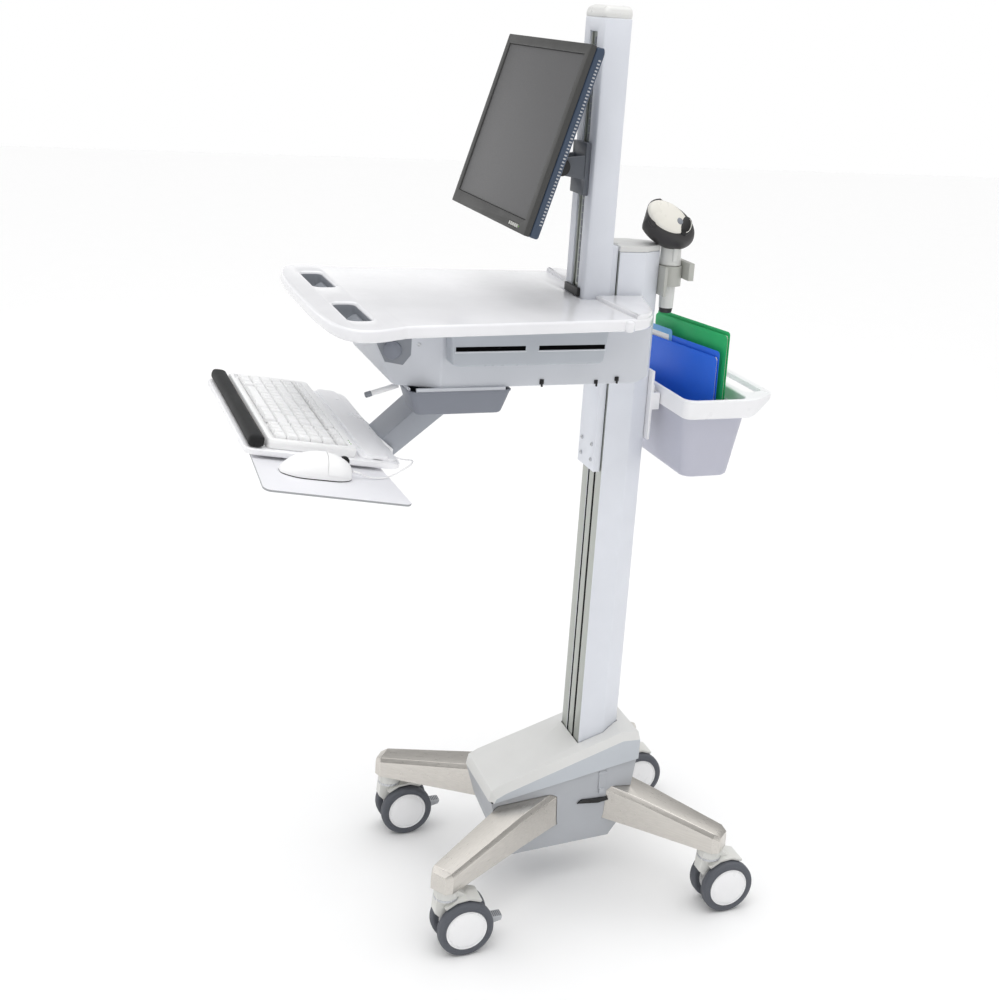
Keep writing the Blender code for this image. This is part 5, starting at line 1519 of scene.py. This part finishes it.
@dataclass
class MouseStation:
    """The sliding mouse tray, the mouse and its lead."""

    drop: float = -0.014
    middle: tuple[float, float] = (0.247, 0.098)
    half_long: float = 0.054
    half_wide: float = 0.03
    lead: float = 0.0028
    route: tuple[tuple[float, float, float], ...] = (
        (0.247, 0.1535, -0.004), (0.247, 0.164, -0.006), (0.246, 0.178, -0.0105), (0.243, 0.193, -0.0118),
        (0.238, 0.208, -0.011), (0.232, 0.222, -0.007), (0.226, 0.236, 0.0), (0.216, 0.249, 0.005),
        (0.2, 0.258, 0.0065), (0.18, 0.262, 0.003), (0.16, 0.264, -0.003), (0.14, 0.264, -0.009),
        (0.12, 0.262, -0.014), (0.1, 0.26, -0.0175), (0.078, 0.258, -0.02))

    def build(self) -> None:
        """Builds the tray, the mouse and the lead."""
        outline = filleted([(0.13, 0.016), (0.33, 0.006), (0.34, 0.012), (0.348, 0.215), (0.34, 0.222),
                (0.138, 0.214), (0.13, 0.206)], 0.008)
        tray = plate("mouse_tray_shown", [outline], self.drop - 0.0035, self.drop, 0.0009, 3)
        tray.transform(tray_matrix())
        place("mouse_tray_shown", tray, "mouse_shelf", MOUSE_TRAY_ABS, replaces=("mouse_tray",), sharp=50,
              others=(TRAY_CORE,), paint=lambda p: int(abs(p.normal.z) < 0.75))
        self.build_body()
        self.build_buttons()
        self.build_wheel()
        self.build_lead()

    def ring(self, t: float, left: float, right: float, lift: float = 0.0, steps: int = ACROSS,
             sunk: float = 0.0) -> list[tuple[float, float, float]]:
        """One cross-section of the mouse.

        Args:
            t: Station from -1 at the palm to 1 at the nose.
            left: Left side, as a share of the half width.
            right: Right side.
            lift: How far it stands over the shell; zero makes the shell itself.
            steps: Points across the top.
            sunk: How far the shell drops, to make room for the buttons.

        Returns:
            The closed ring.
        """
        tuck = max(1 - abs(t) ** (9 if t > 0 else 5), 0.0) ** 0.5
        waist = self.half_wide * (1 - 0.9 * max(abs(t) - 0.35, 0) ** 2) * (0.35 + 0.65 * tuck)
        rise = 0.035 * (1 - 0.55 * (t - 0.1) ** 2) * (0.35 + 0.65 * tuck)
        y = self.middle[1] + t * self.half_long
        points = []
        for i in range(steps + 1):
            s = left + (right - left) * i / steps
            dome = rise * (1 - 0.45 * s * s) * max(1 - abs(s) ** 7 * 0.55, 0.0)
            points.append((self.middle[0] + s * waist, y, self.drop + max(dome + lift - sunk, 0.002)))
        if lift:
            points += [(x, py, z - 0.0016) for x, py, z in reversed(points)]
        else:
            points.append((self.middle[0] + right * waist * 0.97, y, self.drop + 0.0012))
            points.append((self.middle[0] + left * waist * 0.97, y, self.drop + 0.0012))
        return points

    def build_body(self) -> None:
        """The shell, and the dark sole that it slides on."""
        step, depth = (0.2, 0.206), 0.0028
        stations = sorted([-math.cos(math.pi * i / 44) for i in range(1, 44)] + list(step))
        rings = [self.ring(t, -1.0, 1.0, sunk=depth if t > sum(step) / 2 else 0.0) for t in stations]
        mesh = loft("mouse_shell", rings)
        mesh.transform(tray_matrix())
        place("mouse_shell", mesh, "mouse_shelf", KEY_ABS, replaces=("mouse_body",), sharp=40)
        ends = [self.ring(-math.cos(math.pi * i / 40), -1.0, 1.0) for i in range(1, 40)]
        outline = [(ring[ACROSS][0] - 0.0003, ring[ACROSS][1]) for ring in ends]
        outline += [(ring[0][0] + 0.0003, ring[0][1]) for ring in reversed(ends)]
        sole = plate("mouse_sole", [outline], self.drop + 0.0001, self.drop + 0.0014, 0.0003, 1)
        sole.transform(tray_matrix())
        place("mouse_sole", sole, "mouse_shelf", BLACK_ABS, "lever_plastic", sharp=50)

    def build_buttons(self) -> None:
        """The left and right buttons, which carry the shell's curve on to the nose."""
        for side, left, right in (("left", -0.99, -0.045), ("right", 0.045, 0.99)):
            rings = [self.ring(0.215 + 0.745 * i / 18, left, right, 0.0007, 12) for i in range(19)]
            mesh = loft(f"mouse_key_{side}", rings)
            mesh.transform(tray_matrix())
            place(f"mouse_key_{side}", mesh, f"mouse_{side}", KEY_ABS, replaces=(f"mouse_button_{side}",), sharp=40)

    def build_wheel(self) -> None:
        """The scroll wheel, ribbed all round."""
        centre = (self.middle[0], self.middle[1] + 0.039, self.drop + 0.0235)
        wheel = lathe("wheel", [(-0.0032, 0.0), (-0.0032, 0.007), (-0.0024, 0.0079), (0.0024, 0.0079),
                (0.0032, 0.007), (0.0032, 0.0)], centre, steps=40)
        ribs = RINGS.make("ribs", {"Centre": centre, "Radius": 0.008, "Count": 26,
                "Size": (0.004, 0.0009, 0.001), "Material": BLACK_RUBBER.material()})
        both = merged("mouse_scroll_wheel", [wheel, ribs])
        both.transform(tray_matrix())
        place("mouse_scroll_wheel", both, "mouse_scroll", BLACK_RUBBER, replaces=("mouse_wheel",), sharp=40)

    def build_lead(self) -> None:
        """The mouse's lead, from its nose round the tray to the arm."""
        points = [AXIS + tray_matrix() @ p for p in smooth_line(self.route, 6)]
        curve = bpy.data.curves.new("mouse_lead", "CURVE")
        curve.dimensions, curve.bevel_depth, curve.bevel_resolution = "3D", self.lead / 2, 3
        curve.use_fill_caps = True
        spline = curve.splines.new("POLY")
        spline.points.add(len(points) - 1)
        for slot, point in zip(spline.points, points):
            slot.co = (*point, 1.0)
        curve.materials.append(HUB_NYLON.material())
        cable = bpy.data.objects.new("mouse_lead", curve)
        bpy.context.scene.collection.objects.link(cable)
        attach(cable, "mouse_shelf")
        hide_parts("mouse_cord")
        sleeve = tube("mouse_lead_relief", points[:7], self.lead * 0.72, 4)
        guard = place("mouse_lead_relief", sleeve, "mouse_shelf", KEY_ABS, "key_white", world=True)


# Bin and scanner

@dataclass
class Bin:
    """The lift-off bin, its rim with the handle, and two folders."""

    rim: float = 0.957
    floor: float = 0.812
    front: float = 0.066
    wall: float = 0.0026

    def ring(self, half: float, low: float, high: float, z: float, radius: float = 0.018) -> list[Point]:
        """A rounded section of the tub."""
        return [(x, y, z) for x, y in rounded(half, (high - low) / 2, radius, 8, (0, (low + high) / 2))]

    def build(self) -> None:
        """Builds the tub, the rim and the folders."""
        self.build_tub()
        self.build_rim()
        self.build_folder("folder_blue", "file_blue", (0.0, 0.112), 0.228, BLUE_TAB, BLUE_CARD, 0.02, True)
        self.build_folder("folder_green", "file_green", (0.0, 0.129), 0.252, GREEN_CARD, GREEN_CARD, 0.006, False)

    def build_tub(self) -> None:
        """A thin moulded tub with rounded corners all round."""
        f, w, top = self.floor, self.wall, self.rim - 0.0228
        rings = []
        for drop, inset in ((0.0, 0.006), (0.0012, 0.003), (0.004, 0.0008), (0.008, 0.0)):
            rings.append(self.ring(0.112 - inset, 0.078 + inset, 0.17 - inset, f + drop))
        rings.append(self.ring(0.1245, 0.0676, 0.1838, top - 0.012))
        rings.append(self.ring(0.1255, 0.0664, 0.1856, top))
        rings.append(self.ring(0.1255 - w, 0.0664 + w, 0.1856 - w, top, 0.0155))
        rings.append(self.ring(0.112 - w, 0.078 + w, 0.17 - w, f + 0.009, 0.0155))
        rings.append(self.ring(0.108 - w, 0.082 + w, 0.166 - w, f + w, 0.015))
        place("bin_tub", loft("bin_tub", rings), "bin", BIN_TINT, replaces=("bin_body",), sharp=40)

    def build_rim(self) -> None:
        """The collar, which thins to a handle at the rear."""
        y0 = self.front
        outer = filleted([(-0.134, y0 - 0.005), (0.134, y0 - 0.005), (0.134, 0.196), (0.096, 0.25), (-0.096, 0.25),
                (-0.134, 0.196)], 0.02, 8)
        mouth = rounded(0.1245, 0.0588, 0.018, 8, (0.0, 0.1262))
        grip = filleted([(-0.086, 0.2), (0.086, 0.2), (0.078, 0.238), (-0.078, 0.238)], 0.012, 6)
        mesh = plate("bin_collar", [outer, mouth, grip], self.rim - 0.033, self.rim, 0.0032, 5)
        for vertex in mesh.vertices:
            share = min(max((vertex.co.y - 0.188) / 0.062, 0.0), 1.0)
            vertex.co.z = self.rim - (self.rim - vertex.co.z) * (1 - 0.82 * share)
        tongue = softened(box_mesh("tongue", (-0.023, 0.048, 0.92), (0.023, 0.053, self.rim - 0.001)), 0.0008, 2)
        place("bin_collar", merged("bin_collar", [mesh, tongue]), "bin", BIN_GLOSS, replaces=("bin_rim",), sharp=45)

    def build_folder(self, node: str, body: str, centre: tuple[float, float], height: float, rear: Finish,
                     front: Finish, lower: float, tabbed: bool) -> None:
        """A card folder: two leaves, the sheets between them and, on one, a tab with its label.

        Args:
            node: The CAD node that it stands for.
            body: The body it rides on.
            centre: Its middle on the floor of the bin.
            height: The rear leaf's height.
            rear: The tab's finish.
            front: Both leaves' finish.
            lower: How much lower the front leaf is.
            tabbed: True for a tab and a label on the rear leaf.
        """
        low = self.floor + 0.004

        def leaf(x0: float, x1: float, y: float, z0: float, z1: float, thick: float, corner: float) -> Mesh:
            """An upright card with rounded corners and a slight wave.

            Args:
                x0: Its left edge.
                x1: Its right edge.
                y: Where it stands.
                z0: Its foot.
                z1: Its top.
                thick: Its thickness.
                corner: Radius of its corners.

            Returns:
                The card.
            """
            outline = rounded((x1 - x0) / 2, (z1 - z0) / 2, corner, 6, ((x0 + x1) / 2, (z0 + z1) / 2))
            card = plate("leaf", [outline], -thick / 2, thick / 2, thick * 0.3, 1)
            card.transform(Matrix.Rotation(math.radians(90), 4, "X"))
            for vertex in card.vertices:
                vertex.co.y += y + 0.0006 * math.sin(vertex.co.x * 21.0) * (vertex.co.z / height)
            return card

        def stand(name: str, mesh: Mesh, finish: Finish, slot: str, replaces: Sequence[str] = ()) -> None:
            """Leans a card and stands it in the bin.

            Args:
                name: The piece's name.
                mesh: The card.
                finish: Its finish.
                slot: The record's material slot.
                replaces: CAD nodes that it stands for.
            """
            mesh.transform(Matrix.Translation((*centre, low)) @ Matrix.Rotation(math.radians(13), 4, "Z")
                    @ Matrix.Rotation(math.radians(1.0), 4, "X"))
            place(name, mesh, body, finish, slot, replaces, sharp=50)

        low_top = height - 0.01 if tabbed else height
        stand(f"{node}_rear_leaf", leaf(-0.0995, 0.0995, 0.0024, 0.0005, low_top, 0.0008, 0.006), front, node, (node,))
        stand(f"{node}_front_leaf", leaf(-0.0995, 0.099, -0.0024, 0.0005, height - lower, 0.0008, 0.008), front, node)
        sheets = [leaf(-0.094 + 0.0007 * i, 0.094 + 0.0006 * i, -0.0012 + 0.0009 * i, 0.004,
                       height - lower - 0.004 + 0.0014 * (i % 3), 0.0003, 0.001) for i in range(4)]
        stand(f"{node}_sheets", merged("sheets", sheets), PAPER, "bin_white")
        if tabbed:
            stand(f"{node}_tab", leaf(-0.099, -0.03, 0.0014, height - 0.046, height, 0.0006, 0.006), rear, node)
            label = leaf(-0.096, -0.038, 0.0008, height - 0.034, height - 0.0105, 0.0004, 0.002)
            stand(f"{node}_label", label, PAPER, "bin_white")


@dataclass
class Scanner:
    """The handheld scanner: a dark overmoulded head with a pale top and dark nose, a grip and a trigger."""

    x: float = 0.012
    y: float = 0.064
    lean: tuple[float, float, float] = (-8.0, -26.0, 54.0)

    def oval(self, half_x: float, half_y: float, shift: float, z: float, flat: float = 1.0) -> list[Point]:
        """A horizontal oval section of the head, cut flat at its window end."""
        steps = 56
        return [(self.x + half_x * math.cos(2 * math.pi * i / steps),
                 self.y + shift - 0.006 + half_y * max(math.sin(2 * math.pi * i / steps), -flat), z)
                for i in range(steps)]

    def tilted(self, mesh: Mesh) -> Mesh:
        """Leans a piece of the head over on the grip, with its window up.

        Args:
            mesh: The piece, which is changed.

        Returns:
            The same mesh.
        """
        middle = Vector((self.x, self.y - 0.014, 1.23))
        yaw, pitch, roll = (math.radians(v) for v in self.lean)
        turn = Matrix.Rotation(yaw, 4, "Z") @ Matrix.Rotation(pitch, 4, "X") @ Matrix.Rotation(roll, 4, "Y")
        mesh.transform(Matrix.Translation(middle) @ turn @ Matrix.Translation(-middle))
        return mesh

    def build(self) -> None:
        """Builds the scanner's pieces."""
        stations = [(0.017, 0.018, -0.002, 1.205), (0.0205, 0.034, -0.004, 1.213),
                    (0.03, 0.048, -0.01, 1.2245), (0.0345, 0.0545, -0.014, 1.242),
                    (0.0328, 0.0518, -0.018, 1.2575), (0.0275, 0.045, -0.02, 1.2645),
                    (0.0225, 0.038, -0.022, 1.2672)]
        line = smooth_line([(a * 10, b * 10, z * 10) for a, b, _, z in stations], 5)
        shifts = smooth_line([(s * 10, 0, 0) for _, _, s, _ in stations], 5)
        rings = [self.oval(p.x / 10, p.y / 10, s.x / 10, p.z / 10, 0.8) for p, s in zip(line, shifts)]
        place("scanner_head", self.tilted(loft("scanner_head", rings)), "scanner", SCANNER_GRIP,
              replaces=("scanner_body",), sharp=50)
        horns = []
        for sign in (-1, 1):
            horn = lathe("horn", [(-0.0095, 0.0), (-0.0085, 0.0022), (-0.004, 0.0042), (0.004, 0.006),
                    (0.016, 0.0)], (0, 0, 0), Axis.Y, 20)
            horn.transform(Matrix.Translation((self.x + sign * 0.0215, self.y - 0.056, 1.2595))
                    @ Matrix.Rotation(math.radians(-sign * 24), 4, "Z"))
            horns.append(horn)
        place("scanner_horns", self.tilted(merged("horns", horns)), "scanner", SCANNER_GRIP, "scanner_dark", sharp=50)
        top = [self.oval(a, b, -0.026, z) for a, b, z in ((0.0268, 0.04, 1.263), (0.0264, 0.0395, 1.2672),
                (0.025, 0.0378, 1.2694), (0.0205, 0.032, 1.2712),
                (0.013, 0.021, 1.2725), (0.005, 0.008, 1.2731))]
        place("scanner_panel", self.tilted(loft("scanner_panel", top)), "scanner", SCANNER_TOP, "scanner_white",
              sharp=50)
        nose = [self.oval(a, b, 0.0085, z) for a, b, z in ((0.0185, 0.0125, 1.26), (0.0182, 0.0122, 1.269),
                (0.0168, 0.0108, 1.2716), (0.011, 0.007, 1.2733),
                (0.003, 0.002, 1.2738))]
        place("scanner_nose", self.tilted(loft("scanner_nose", nose)), "scanner", BLACK_ABS, "scanner_dark", sharp=50)
        turns = [math.radians(20 + 140 * i / 16) for i in range(17)]
        arc = [(self.x + 0.015 * math.cos(a), self.y + 0.0015 + 0.009 * math.sin(a),
                1.2728 - 0.001 * abs(math.cos(a))) for a in turns]
        place("scanner_arc", self.tilted(tube("scanner_arc", arc, 0.0007)), "scanner", PAPER, "scanner_white")
        button = lathe("scanner_button", [(1.2705, 0.0), (1.2705, 0.0062), (1.2726, 0.006), (1.2734, 0.0046),
                (1.2736, 0.0)], (self.x, self.y - 0.012, 0.0), Axis.Z, 36)
        place("scanner_button", self.tilted(button), "scanner", LEVER_NYLON, "scanner_dark", sharp=50)
        grip = [(1.095, 0.0), (1.095, 0.0124), (1.0985, 0.0126), (1.1704, 0.014), (1.1706, 0.0186), (1.1716, 0.0194),
                (1.185, 0.018), (1.21, 0.0178), (1.216, 0.017), (1.216, 0.0)]
        place("scanner_grip", lathe("scanner_grip", grip, (self.x, self.y, 0), Axis.Z, 56), "scanner", SCANNER_SHELL,
              "scanner_white", sharp=40)
        foot = lathe("foot", [(1.0862, 0.0), (1.0862, 0.0098), (1.0872, 0.0109), (1.0946, 0.0121), (1.0946, 0.0)],
                     (self.x, self.y, 0), Axis.Z, 48)
        place("scanner_foot", foot, "scanner", SCANNER_GRIP, "scanner_dark", sharp=45)
        refine("scanner_trigger", SCANNER_SHELL, 0.001, 3)


# Studio

@dataclass
class Studio:
    """A pale floor, soft light and the camera."""

    eye: tuple[float, float, float] = (2.1876, -1.023, 1.5807)
    azimuth: float = 68.09
    elevation: float = 15.45
    roll: float = 4.24
    focal: float = 1411.4
    shift: tuple[float, float] = (-0.0463, -0.1)
    sensor_mm: float = 36.0
    frame_width: float = 1000.0
    floor: float = 12.0
    sky: tuple[tuple[float, float], ...] = ((0.12, 1.0), (0.24, 0.36), (0.5, 0.4), (0.76, 1.35), (1.0, 1.6))

    def build(self) -> None:
        """Builds the floor, the lights, the world and the camera."""
        half, drop = self.floor, -0.0004
        mesh = bpy.data.meshes.new("floor")
        mesh.from_pydata([(-half, -half, drop), (half, -half, drop), (half, half, drop), (-half, half, drop)], [],
                [(0, 1, 2, 3)])
        mesh.materials.append(Finish("pale_studio_floor", "#fbfbfb", 0.7, relief=0.02, patch=0.004).material())
        floor = bpy.data.objects.new("floor", mesh)
        bpy.context.scene.collection.objects.link(floor)
        self.light("key", (0.9, -0.9, 4.2), (0, 0, 0.8), 2.6, 26.0)
        self.light("fill", (-2.6, -2.4, 2.0), (0, 0, 0.8), 2.4, 9.0)
        world = bpy.data.worlds.new("studio")
        world.use_nodes = True
        tree = world.node_tree
        back = tree.nodes["Background"]
        back.inputs["Color"].default_value = (1.0, 1.0, 1.0, 1.0)
        towards = add_node(tree, "ShaderNodeTexCoord").outputs["Generated"]
        rise = add_node(tree, "ShaderNodeSeparateXYZ", {0: towards}).outputs[2]
        bands = add_node(tree, "ShaderNodeValToRGB", {"Fac": rise})
        ramp = bands.color_ramp
        ramp.elements[0].position, ramp.elements[1].position = self.sky[0][0], self.sky[-1][0]
        for spot, _ in self.sky[1:-1]:
            ramp.elements.new(spot)
        for element, (_, bright) in zip(ramp.elements, self.sky):
            element.color = (bright, bright, bright, 1.0)
        tree.links.new(bands.outputs["Color"], back.inputs["Strength"])
        bpy.context.scene.world = world
        bpy.context.scene.view_settings.view_transform = "Standard"
        self.camera()

    def light(self, name: str, spot: Point, target: Point, size: float, power: float) -> None:
        """A square soft light.

        Args:
            name: Its name.
            spot: Where it is.
            target: What it is aimed at.
            size: Its side in metres.
            power: Its power in watts.
        """
        lamp = bpy.data.lights.new(name, "AREA")
        lamp.energy, lamp.size = power, size
        obj = bpy.data.objects.new(name, lamp)
        obj.location = spot
        obj.rotation_euler = (Vector(target) - Vector(spot)).to_track_quat("-Z", "Y").to_euler()
        bpy.context.scene.collection.objects.link(obj)

    def camera(self) -> None:
        """A camera with the fitted place, turn and lens."""
        lens = bpy.data.cameras.new("camera")
        lens.sensor_width, lens.lens = self.sensor_mm, self.focal * self.sensor_mm / self.frame_width
        lens.shift_x, lens.shift_y = self.shift
        obj = bpy.data.objects.new("camera", lens)
        az, el, roll = (math.radians(v) for v in (self.azimuth, self.elevation, self.roll))
        back = Vector((math.sin(az) * math.cos(el), -math.cos(az) * math.cos(el), math.sin(el)))
        right = Vector((math.cos(az), math.sin(az), 0.0))
        up = back.cross(right)
        r = right * math.cos(roll) + up * math.sin(roll)
        u = up * math.cos(roll) - right * math.sin(roll)
        obj.matrix_world = Matrix.Translation(Vector(self.eye) + AXIS) @ Matrix((r, u, back)).transposed().to_4x4()
        bpy.context.scene.collection.objects.link(obj)
        bpy.context.scene.camera = obj


def main() -> None:
    """Builds the whole cart and its studio, in order."""
    logging.basicConfig(level=logging.INFO, format="%(name)s: %(message)s")
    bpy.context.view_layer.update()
    Studio().build()
    Base().build()
    for where, stem in (("front_left", (-0.192, -0.337)), ("front_right", (0.192, -0.337)),
            ("rear_left", (-0.199, 0.166)), ("rear_right", (0.199, 0.166))):
        Caster(where, stem, braked=where.startswith("front")).build()
    Mast().build()
    Display().build()
    Worksurface().build()
    KeyboardStation().build()
    MouseStation().build()
    Bin().build()
    Scanner().build()
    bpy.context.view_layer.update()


if __name__ == "__main__":
    main()
